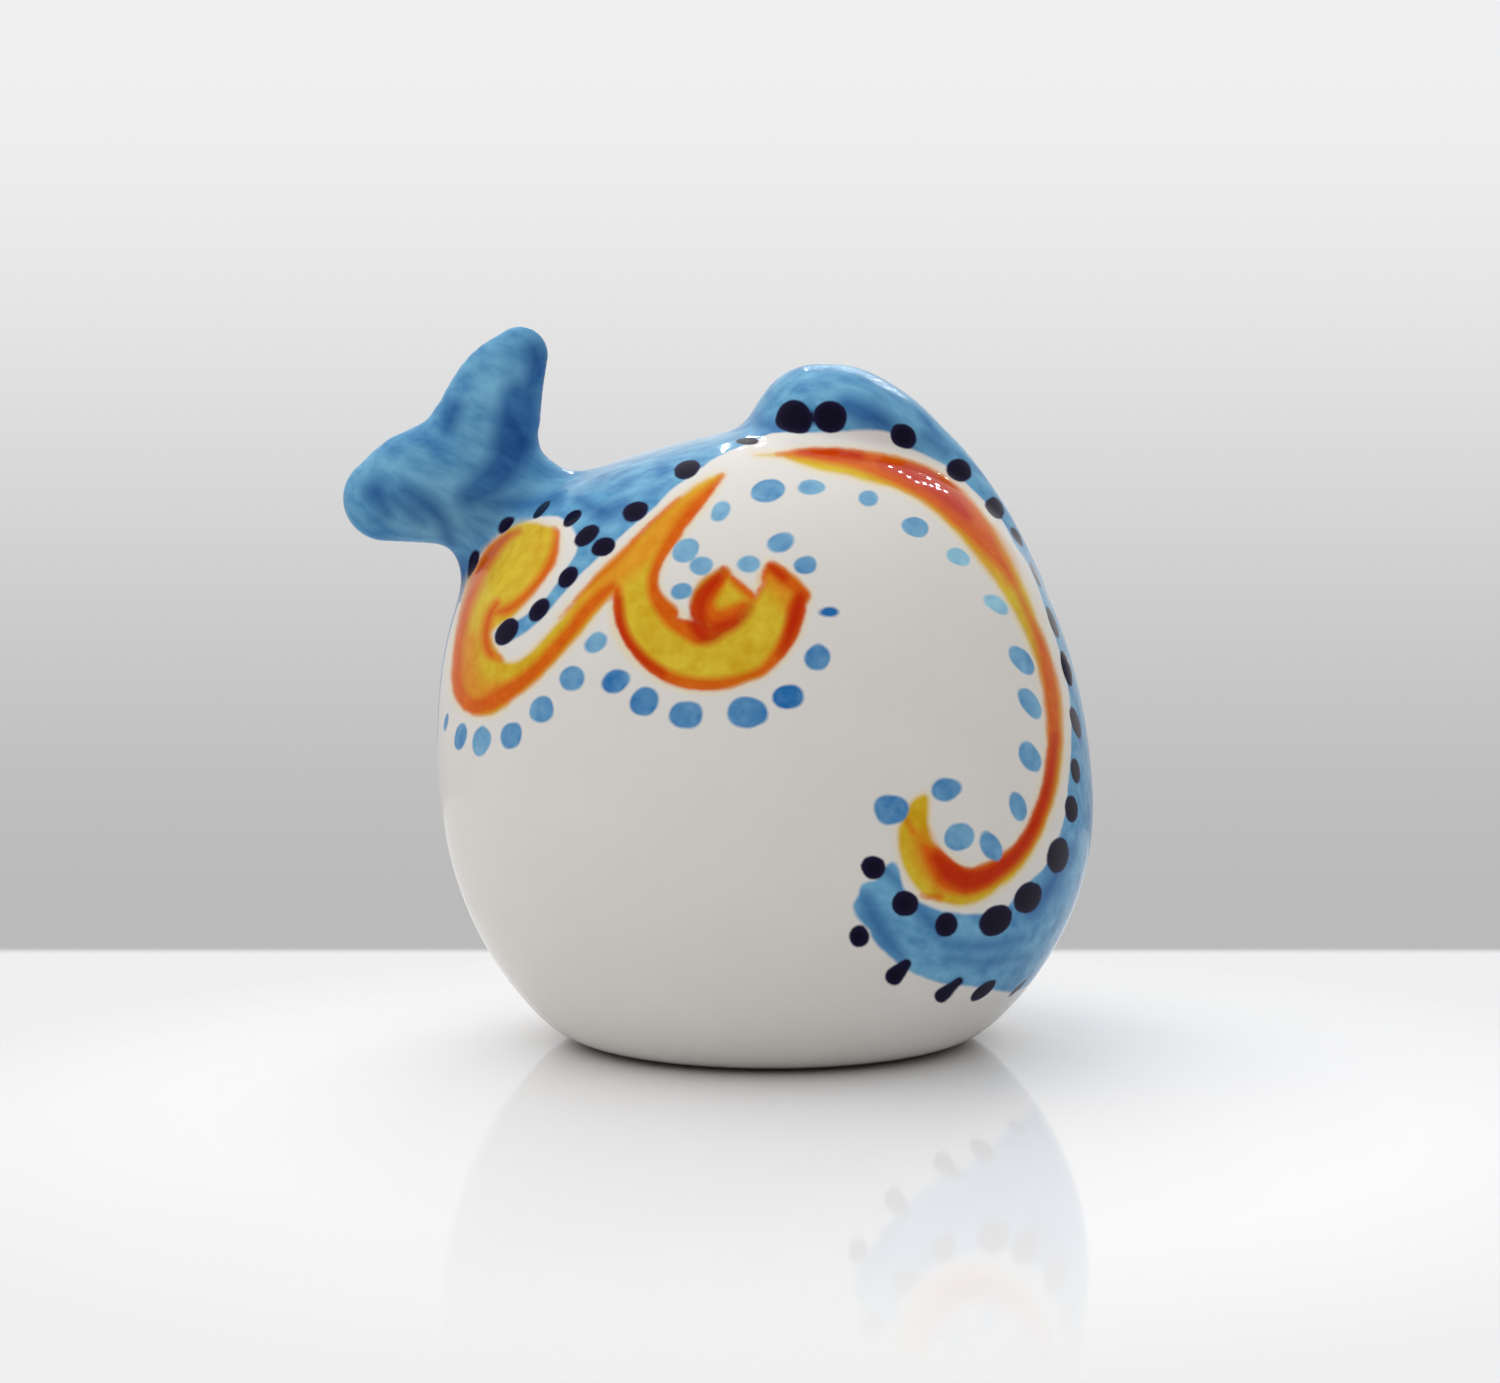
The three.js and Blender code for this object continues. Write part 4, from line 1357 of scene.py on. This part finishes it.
@dataclass
class GlazedFish:
    """The body with its tail and dorsal fin: one modelled surface, cut where the fins were luted on."""

    axis: Vector
    body: BodyForm = field(default_factory=BodyForm)
    tail: FinForm = FinForm(
        rolls=(
            ((-46.9, 102.5, 8.7), (-44.6, 109.0, 7.0), (-41.4, 114.0, 4.6)),
            ((-45.0, 91.5, 9.2), (-56.0, 92.8, 9.7), (-63.5, 90.5, 7.0)),
            ((-40.0, 74.0, 9.0), (-43.4, 82.5, 8.6), (-49.5, 96.5, 9.0)),
        ),
        flatness=0.68,
        roll_fillet=4.0,
        body_fillet=(5.0, 13.0),
        fillet_span=(-46.0, -36.0),
    )
    dorsal: FinForm = FinForm(
        rolls=(
            (
                (7.9, 101.9, 10.6),
                (11.5, 101.9, 10.4),
                (15.2, 101.2, 9.4),
                (19.0, 99.8, 8.4),
                (23.4, 97.2, 7.2),
                (28.6, 92.9, 6.4),
                (35.0, 84.5, 5.8),
                (40.2, 76.0, 4.4),
            ),
        ),
        flatness=1.4,
        roll_fillet=3.0,
        body_fillet=(9.0, 5.0),
        fillet_span=(-2.0, 4.0),
    )
    grid_low: Triple = (-74.0, -57.0, -3.0)
    grid_high: Triple = (58.0, 57.0, 122.0)
    grid_step: float = 1.3
    fins_above: float = 60.0
    tail_behind: float = -22.0
    far: float = 50.0
    cap_drop: float = 0.4
    cap_rounds: int = 4
    hollow_rings: int = 12
    bare_below: float = 0.5
    bare_depth: float = 5.0

    def about(self, points: np.ndarray, form: FinForm) -> np.ndarray:
        """Which points lie in the part of the fish that a fin stands on."""
        behind = points[:, 0] < self.tail_behind
        return (points[:, 2] > self.fins_above) & (behind == (form is self.tail))

    def fins(self, points: np.ndarray, form: FinForm) -> np.ndarray:
        """Distance to a fin where it can matter, and a long way off elsewhere."""
        out = np.full(len(points), self.far)
        near = self.about(points, form)
        out[near] = form.distance(points[near])
        return out

    def distance(self, points: np.ndarray) -> np.ndarray:
        """Distance to the whole fish."""
        whole = self.body.distance(points)
        for form in (self.tail, self.dorsal):
            whole = soft_min(whole, self.fins(points, form), form.fillet(points))
        return whole

    def sculpt(self) -> Skin:
        """The outside of the whole fish."""
        return SurfaceNet(self.distance, self.grid_low, self.grid_high, self.grid_step).skin()

    def seam(self, skin: Skin, form: FinForm) -> np.ndarray:
        """A value for each point that is positive on a fin and negative on the body."""
        rise = self.body.egg_distance(skin.points) - form.seam_rise
        return np.where(self.about(skin.points, form), rise, -form.seam_rise)

    def cap(self, skin: Skin, loop: np.ndarray, sink: float) -> None:
        """Close a seam with a dish, sunk a little into the body."""
        middle = skin.points[loop].mean(axis=0)
        net = SurfaceNet(self.body.egg_distance, self.grid_low, self.grid_high, self.grid_step)
        apex = net.settle(middle.reshape(1, 3), self.cap_rounds)[0]
        outward = net.slope(apex.reshape(1, 3))[0]
        skin.close(loop, apex - outward / np.linalg.norm(outward) * sink)

    def hollow(self, skin: Skin, loop: np.ndarray) -> None:
        """Line the pour hole and the hollow inside the body, from the border of the hole inwards."""
        body = self.body
        floor = body.wall + body.recess_depth
        bearings = np.arctan2(skin.points[loop, 1], skin.points[loop, 0])
        ring = np.column_stack((np.cos(bearings), np.sin(bearings), np.zeros(len(loop))))
        lowest = math.asin((floor - body.widest_height) / (body.belly_depth - body.wall))
        rows = [ring * body.hole_radius + (0.0, 0.0, floor)]
        for level in np.linspace(lowest, math.pi / 2, self.hollow_rings, endpoint=False):
            rows.append(np.array([body.place(level, bearing, -body.wall) for bearing in bearings]))
        first = len(skin.points)
        numbers = [loop] + [first + np.arange(len(loop)) + k * len(loop) for k in range(len(rows))]
        faces = []
        for low, high in zip(numbers[:-1], numbers[1:]):
            after_low, after_high = np.roll(low, -1), np.roll(high, -1)
            faces.append(np.column_stack((after_low, low, high)))
            faces.append(np.column_stack((after_low, high, after_high)))
        skin.add(np.concatenate(rows), np.concatenate(faces))
        skin.close(numbers[-1], body.place(math.pi / 2, 0.0, -body.wall))

    def bare(self, skin: Skin) -> np.ndarray:
        """Distance to the edge of the glaze: the foot is wiped clean and the inside is never glazed."""
        inside = np.linalg.norm(skin.normals, axis=1) < 0.5
        return np.where(inside, -self.bare_depth, skin.points[:, 2] - self.bare_below)

    def build(self, view: PhotoView, material: bpy.types.Material) -> list[bpy.types.Object]:
        """Sculpt, cut, paint and add the three pieces.

        Args:
            view: The camera that the photograph's pixels are seen through.
            material: The finish of all three.

        Returns:
            The body, the tail fin and the dorsal fin.
        """
        whole = self.sculpt()
        painter = Painter(view, self.body, Ornament(), whole)
        rest, tail = whole.split(self.seam(whole, self.tail))
        rest, dorsal = rest.split(self.seam(rest, self.dorsal))
        under = rest.points[:, 2] < self.body.wall
        gap = self.body.hole_radius - np.hypot(rest.points[:, 0], rest.points[:, 1])
        shell, _ = rest.split(np.where(under, gap, -self.far))
        for loop in shell.borders():
            if shell.points[loop, 2].mean() < self.body.wall:
                self.hollow(shell, loop)
            else:
                self.cap(shell, loop, self.cap_drop)
        for fin in (tail, dorsal):
            self.cap(fin, fin.borders()[0], -self.cap_drop / 2)
        made = []
        for piece, skin in (
            (Piece("glazed_body", "body_shell", Slot.WHITE), shell),
            (Piece("glazed_tail", "tail_fin", Slot.BLUE), tail),
            (Piece("glazed_dorsal", "dorsal_fin", Slot.BLUE), dorsal),
        ):
            layers = painter.layers(skin.points)
            layers[Layer.BARE] = self.bare(skin)
            made.append(piece.make(skin, layers, self.axis, material))
        return made


def loft(rings: Sequence[np.ndarray], start: np.ndarray, end: np.ndarray) -> Skin:
    """A closed skin through rings of equal length, with a point at each end.

    Args:
        rings: The rings, anticlockwise seen from the end.
        start: The first point.
        end: The last point.

    Returns:
        The skin, with its normals left open.
    """
    size = len(rings[0])
    points = np.concatenate([start.reshape(1, 3), *rings, end.reshape(1, 3)])
    here = np.arange(size)
    after = np.roll(here, -1)
    faces = [np.column_stack((np.zeros(size, int), 1 + after, 1 + here))]
    for k in range(len(rings) - 1):
        low, high = 1 + k * size, 1 + (k + 1) * size
        faces.append(np.column_stack((low + here, low + after, high + after)))
        faces.append(np.column_stack((low + here, high + after, high + here)))
    top = 1 + (len(rings) - 1) * size
    faces.append(np.column_stack((np.full(size, len(points) - 1), top + here, top + after)))
    return Skin(points, np.zeros_like(points), np.concatenate(faces))


@dataclass
class EyeDisc:
    """A navy disc pressed into the front, domed, with a painted white glint towards the nose: a painted
    highlight.
    """

    side: int
    body: BodyForm = field(default_factory=BodyForm)
    height: float = 20.8
    bearing: float = 21.5
    radius: float = 3.0
    seat: float = 1.3
    dome: float = 0.5
    rim: float = 0.4
    rim_share: float = 0.25
    back_shares: tuple[float, float] = (0.5, 0.96)
    # Size and place of the painted white glint, a painted highlight on the eye.
    painted_glint: float = 0.5
    glint_ahead: float = 0.9
    glint_up: float = 1.0
    segments: int = 72
    rings: int = 14

    def build(self, axis: Vector, material: bpy.types.Material) -> bpy.types.Object:
        """Add the disc, with its painted glint, a painted highlight, kept as the white layer."""
        level = math.asin(self.height / self.body.crown_height)
        bearing = self.side * math.radians(self.bearing)
        middle = self.body.place(level, bearing)
        out = self.body.outward(level, bearing)
        across = np.cross((0.0, 0.0, 1.0), out)
        across /= np.linalg.norm(across)
        up = np.cross(out, across)
        turn = np.linspace(0.0, 2 * math.pi, self.segments, endpoint=False)
        circle = np.outer(np.cos(turn), across) + np.outer(np.sin(turn), up)
        profile = [(self.radius * share, -self.seat) for share in self.back_shares]
        for share in np.linspace(0.0, 1.0, self.rings, endpoint=False):
            turned = min(share / self.rim_share, 1.0)
            reach = self.radius - self.rim * (1 - math.cos(math.pi / 2 * turned))
            inner = max(share - self.rim_share, 0.0) / (1 - self.rim_share)
            profile.append((reach * (1 - inner), self.rise(reach * (1 - inner))))
        rows = [middle + circle * reach + out * rise for reach, rise in profile]
        skin = loft(rows, middle - out * self.seat, middle + out * self.rise(0.0))
        # Painted highlight: the middle of the white glint, up and towards the nose.
        glint_middle = middle - self.side * self.glint_ahead * across + self.glint_up * up
        spread = np.linalg.norm(np.cross(skin.points - glint_middle, out), axis=1)
        name = "left_eye" if self.side > 0 else "right_eye"
        piece = Piece(f"glazed_{name}", name, Slot.NAVY)
        return piece.make(skin, {Layer.PAINTED_GLINT: spread - self.painted_glint}, axis, material)

    def rise(self, reach: float) -> float:
        """How far the face of the disc stands out of the body, at a distance from its middle."""
        return self.dome * (1 - (reach / self.radius) ** 2)


@dataclass
class Lip:
    """A flattened roll of clay pressed into the front, thinner towards both ends.

    side is 1 above and -1 below.
    """

    side: int
    body: BodyForm = field(default_factory=BodyForm)
    height: float = 4.0
    bearing: float = 8.5
    half_height: float = 1.9
    half_depth: float = 1.15
    proud: float = 0.4
    slit: float = 1.6
    end_round: float = 2.2
    rings: int = 48
    segments: int = 28
    far: float = 9.0

    def spine(self, off: float) -> np.ndarray:
        """The middle of the roll, at a share of the way from the middle of the mouth to one corner."""
        thinned = 1 - off * off / 2
        middle = self.height + self.side * (self.half_height + self.slit / 2)
        rise = middle - self.side * self.half_height * (1 - thinned)
        sunk = self.proud * (1 - off * off) - self.half_depth * thinned
        level = math.asin(rise / self.body.crown_height)
        return self.body.place(level, math.radians(self.bearing) * off, sunk)

    def build(self, axis: Vector, material: bpy.types.Material) -> bpy.types.Object:
        """Add the roll."""
        turn = np.linspace(0.0, 2 * math.pi, self.segments, endpoint=False)
        spread = np.column_stack(
            (self.half_depth * np.cos(turn), np.zeros_like(turn), -self.half_height * np.sin(turn))
        )
        rows = []
        for off in np.linspace(-1.0, 1.0, self.rings + 2)[1:-1]:
            rounded = min(1.0, math.sqrt(1.0 - abs(off)) * self.end_round)
            rows.append(self.spine(off) + (1 - off * off / 2) * rounded * spread)
        skin = loft(rows, self.spine(-1.0), self.spine(1.0))
        name = "upper_lip" if self.side > 0 else "lower_lip"
        piece = Piece(f"glazed_{name}", name, Slot.ORANGE)
        # No painted glint on the lips: its distance stays far off everywhere.
        return piece.make(skin, {Layer.PAINTED_GLINT: np.full(len(skin.points), self.far)}, axis, material)


@dataclass(frozen=True)
class Studio:
    """A pale floor that runs out into pale ground, a soft room, and a ring of small lamps high behind.

    Angles are degrees above the level of the camera, and the others are metres from the fish's axis.
    """

    floor_middle: tuple[float, float] = (0.0, -0.06)
    floor_radius: float = 0.15
    fade_start: float = 0.09
    floor_shade: Shade = (240, 240, 241)
    floor_roughness: float = 0.05
    floor_gloss: float = 0.13
    ground_shade: Shade = (240, 240, 240)
    ground_from: float = -9.36
    ground_to: float = -9.24
    backdrop_low: Shade = (186, 186, 187)
    backdrop_high: Shade = (240, 240, 240)
    backdrop_full: float = 5.5
    backdrop_way: Triple = (0.099, 0.995, 0.0)
    least_ahead: float = 0.9
    backdrop_inner: float = 17.0
    backdrop_outer: float = 30.0
    light_low: float = 0.22
    light_high: float = 1.45
    light_from: float = 18.0
    light_full: float = 50.0
    light_lean: Triple = (-0.44, 0.1, 0.0)
    ring_place: Triple = (0.16, 0.52, 0.42)
    ring_aim: Triple = (0.0, 0.0, 0.1)
    ring_half: tuple[float, float] = (0.17, 0.05)
    lamps: tuple[int, int] = (15, 4)
    lamp_size: float = 0.0045
    lamp_strength: float = 340.0
    segments: int = 96

    def between(self, bench: Bench, value: Wire, low: float, high: float) -> Wire:
        """Rise smoothly from 0 to 1 while a value goes from one number to another."""
        return bench.add(
            "ShaderNodeMapRange",
            {"interpolation_type": "SMOOTHSTEP"},
            {"Value": value, "From Min": low, "From Max": high, "To Min": 0.0, "To Max": 1.0},
        )

    def room(self) -> None:
        """Set the light of the room: a soft ceiling, dimmer sides, pale ground and a pale backdrop.

        The backdrop is what is seen all round, straight on or in the glaze, so that every side looks pale.
        """
        world = bpy.data.worlds.new("studio")
        world.use_nodes = True
        bench = Bench(world.node_tree)
        way = bench.add("ShaderNodeTexCoord", {}, {}, "Generated")
        height = bench.add("ShaderNodeSeparateXYZ", {}, {"Vector": way}, "Z")

        def toward(heading: Triple) -> Wire:
            """How far each direction goes along a heading."""
            inputs = {0: way, 1: heading}
            return bench.add("ShaderNodeVectorMath", {"operation": "DOT_PRODUCT"}, inputs, "Value")

        ahead = bench.maths("ABSOLUTE", toward(self.backdrop_way), 0.0)
        slope = height / bench.maths("MAXIMUM", ahead, self.least_ahead)

        def rise(low: float, high: float) -> Wire:
            """Rise from 0 to 1 between two slopes, given as angles, that look straight across the view."""
            return self.between(bench, slope, *(math.tan(math.radians(angle)) for angle in (low, high)))

        sines = (math.sin(math.radians(angle)) for angle in (self.light_from, self.light_full))
        ceiling = self.between(bench, height, *sines) * (self.light_high - self.light_low)
        share = (ceiling + self.light_low) * (toward(self.light_lean) + 1.0)
        light = bench.add("ShaderNodeCombineColor", {}, {"Red": share, "Green": share, "Blue": share})
        paler = rise(self.ground_to, self.backdrop_full)
        backdrop = bench.mix(linear(self.backdrop_low), linear(self.backdrop_high), paler)
        far, near = (math.cos(math.radians(angle)) for angle in (self.backdrop_outer, self.backdrop_inner))
        shown = self.between(bench, toward(self.backdrop_way), far, near)
        for ray in ("Is Camera Ray", "Is Glossy Ray", "Is Transmission Ray"):
            shown = shown + bench.add("ShaderNodeLightPath", {}, {}, ray)
        colour = bench.mix(light, backdrop, shown.clamp())
        colour = bench.mix(linear(self.ground_shade), colour, rise(self.ground_from, self.ground_to))
        sky = bench.add("ShaderNodeBackground", {}, {"Color": colour})
        bench.add("ShaderNodeOutputWorld", {}, {"Surface": sky})
        bpy.context.scene.world = world

    def floor(self, axis: Vector) -> bpy.types.Object:
        """Add the round floor, which fades out at its edge."""
        turn = np.linspace(0.0, 2 * math.pi, self.segments, endpoint=False)
        rim = np.column_stack((np.cos(turn), np.sin(turn), np.zeros_like(turn))) * self.floor_radius
        mesh = bpy.data.meshes.new("floor")
        mesh.from_pydata(rim.tolist(), [], [list(range(self.segments))])
        floor = bpy.data.objects.new("floor", mesh)
        floor.location = (axis.x * MM + self.floor_middle[0], axis.y * MM + self.floor_middle[1], 0.0)
        bpy.context.scene.collection.objects.link(floor)
        material, bench = new_finish("pale_floor")
        place = bench.add("ShaderNodeTexCoord", {}, {}, "Object")
        away = bench.add("ShaderNodeVectorMath", {"operation": "LENGTH"}, {0: place}, "Value")
        fade = ((away - self.fade_start) / (self.floor_radius - self.fade_start)).clamp()
        plain = bench.add(
            "ShaderNodeBsdfPrincipled",
            {},
            {
                "Base Color": linear(self.floor_shade),
                "Roughness": self.floor_roughness,
                "Specular IOR Level": self.floor_gloss,
            },
        )
        clear = bench.add("ShaderNodeBsdfTransparent", {}, {})
        shader = bench.add("ShaderNodeMixShader", {}, {0: fade, 1: plain, 2: clear})
        bench.add("ShaderNodeOutputMaterial", {}, {"Surface": shader})
        mesh.materials.append(material)
        return floor

    def lamp_ring(self, axis: Vector) -> bpy.types.Object:
        """Add the oblong ring of lamps, which shows only by its light and in reflections."""
        half_x, half_y = self.ring_half
        along = np.linspace(-half_x, half_x, self.lamps[0], endpoint=False)
        across = np.linspace(-half_y, half_y, self.lamps[1], endpoint=False)
        spots = [(s, -half_y) for s in along] + [(half_x, s) for s in across]
        spots += [(-s, half_y) for s in along] + [(-half_x, -s) for s in across]
        corner = self.lamp_size / 2
        points, faces = [], []
        for x, y in spots:
            first = len(points)
            points += [(x - corner, y - corner, 0), (x - corner, y + corner, 0)]
            points += [(x + corner, y + corner, 0), (x + corner, y - corner, 0)]
            faces.append([first, first + 1, first + 2, first + 3])
        mesh = bpy.data.meshes.new("lamp_ring")
        mesh.from_pydata(points, [], faces)
        ring = bpy.data.objects.new("lamp_ring", mesh)
        ring.location = Vector(self.ring_place) + axis * MM
        aim = Vector(self.ring_aim) + axis * MM - ring.location
        ring.rotation_euler = aim.to_track_quat("-Z", "Y").to_euler()
        ring.visible_camera = False
        bpy.context.scene.collection.objects.link(ring)
        material, bench = new_finish("lamp_light")
        glow = bench.add("ShaderNodeEmission", {}, {"Strength": self.lamp_strength})
        bench.add("ShaderNodeOutputMaterial", {}, {"Surface": glow})
        mesh.materials.append(material)
        return ring


def main() -> None:
    """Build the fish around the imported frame."""
    logging.basicConfig(level=logging.INFO, format="%(message)s")
    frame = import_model()
    base = frame["record"]["mounts"][0]["pos_m"]
    axis = Vector((base[0] / MM, 0.0, 0.0))

    view = PhotoView()
    view.make(axis)
    studio = Studio()
    studio.room()
    studio.floor(axis)
    studio.lamp_ring(axis)

    glaze = PaintedGlaze()
    GlazedFish(axis).build(view, glaze.make())
    # The white here is the eyes' painted glint, a painted highlight; the lips carry none.
    eye_finish = PlainGlaze("eye_glaze", glaze.navy, glaze.white).make()
    lip_finish = PlainGlaze("lip_glaze", glaze.orange, glaze.white).make()
    for side in (1, -1):
        EyeDisc(side).build(axis, eye_finish)
        Lip(side).build(axis, lip_finish)

    settings = bpy.context.scene.view_settings
    settings.view_transform = "Standard"
    bpy.context.view_layer.update()


if __name__ == "__main__":
    main()
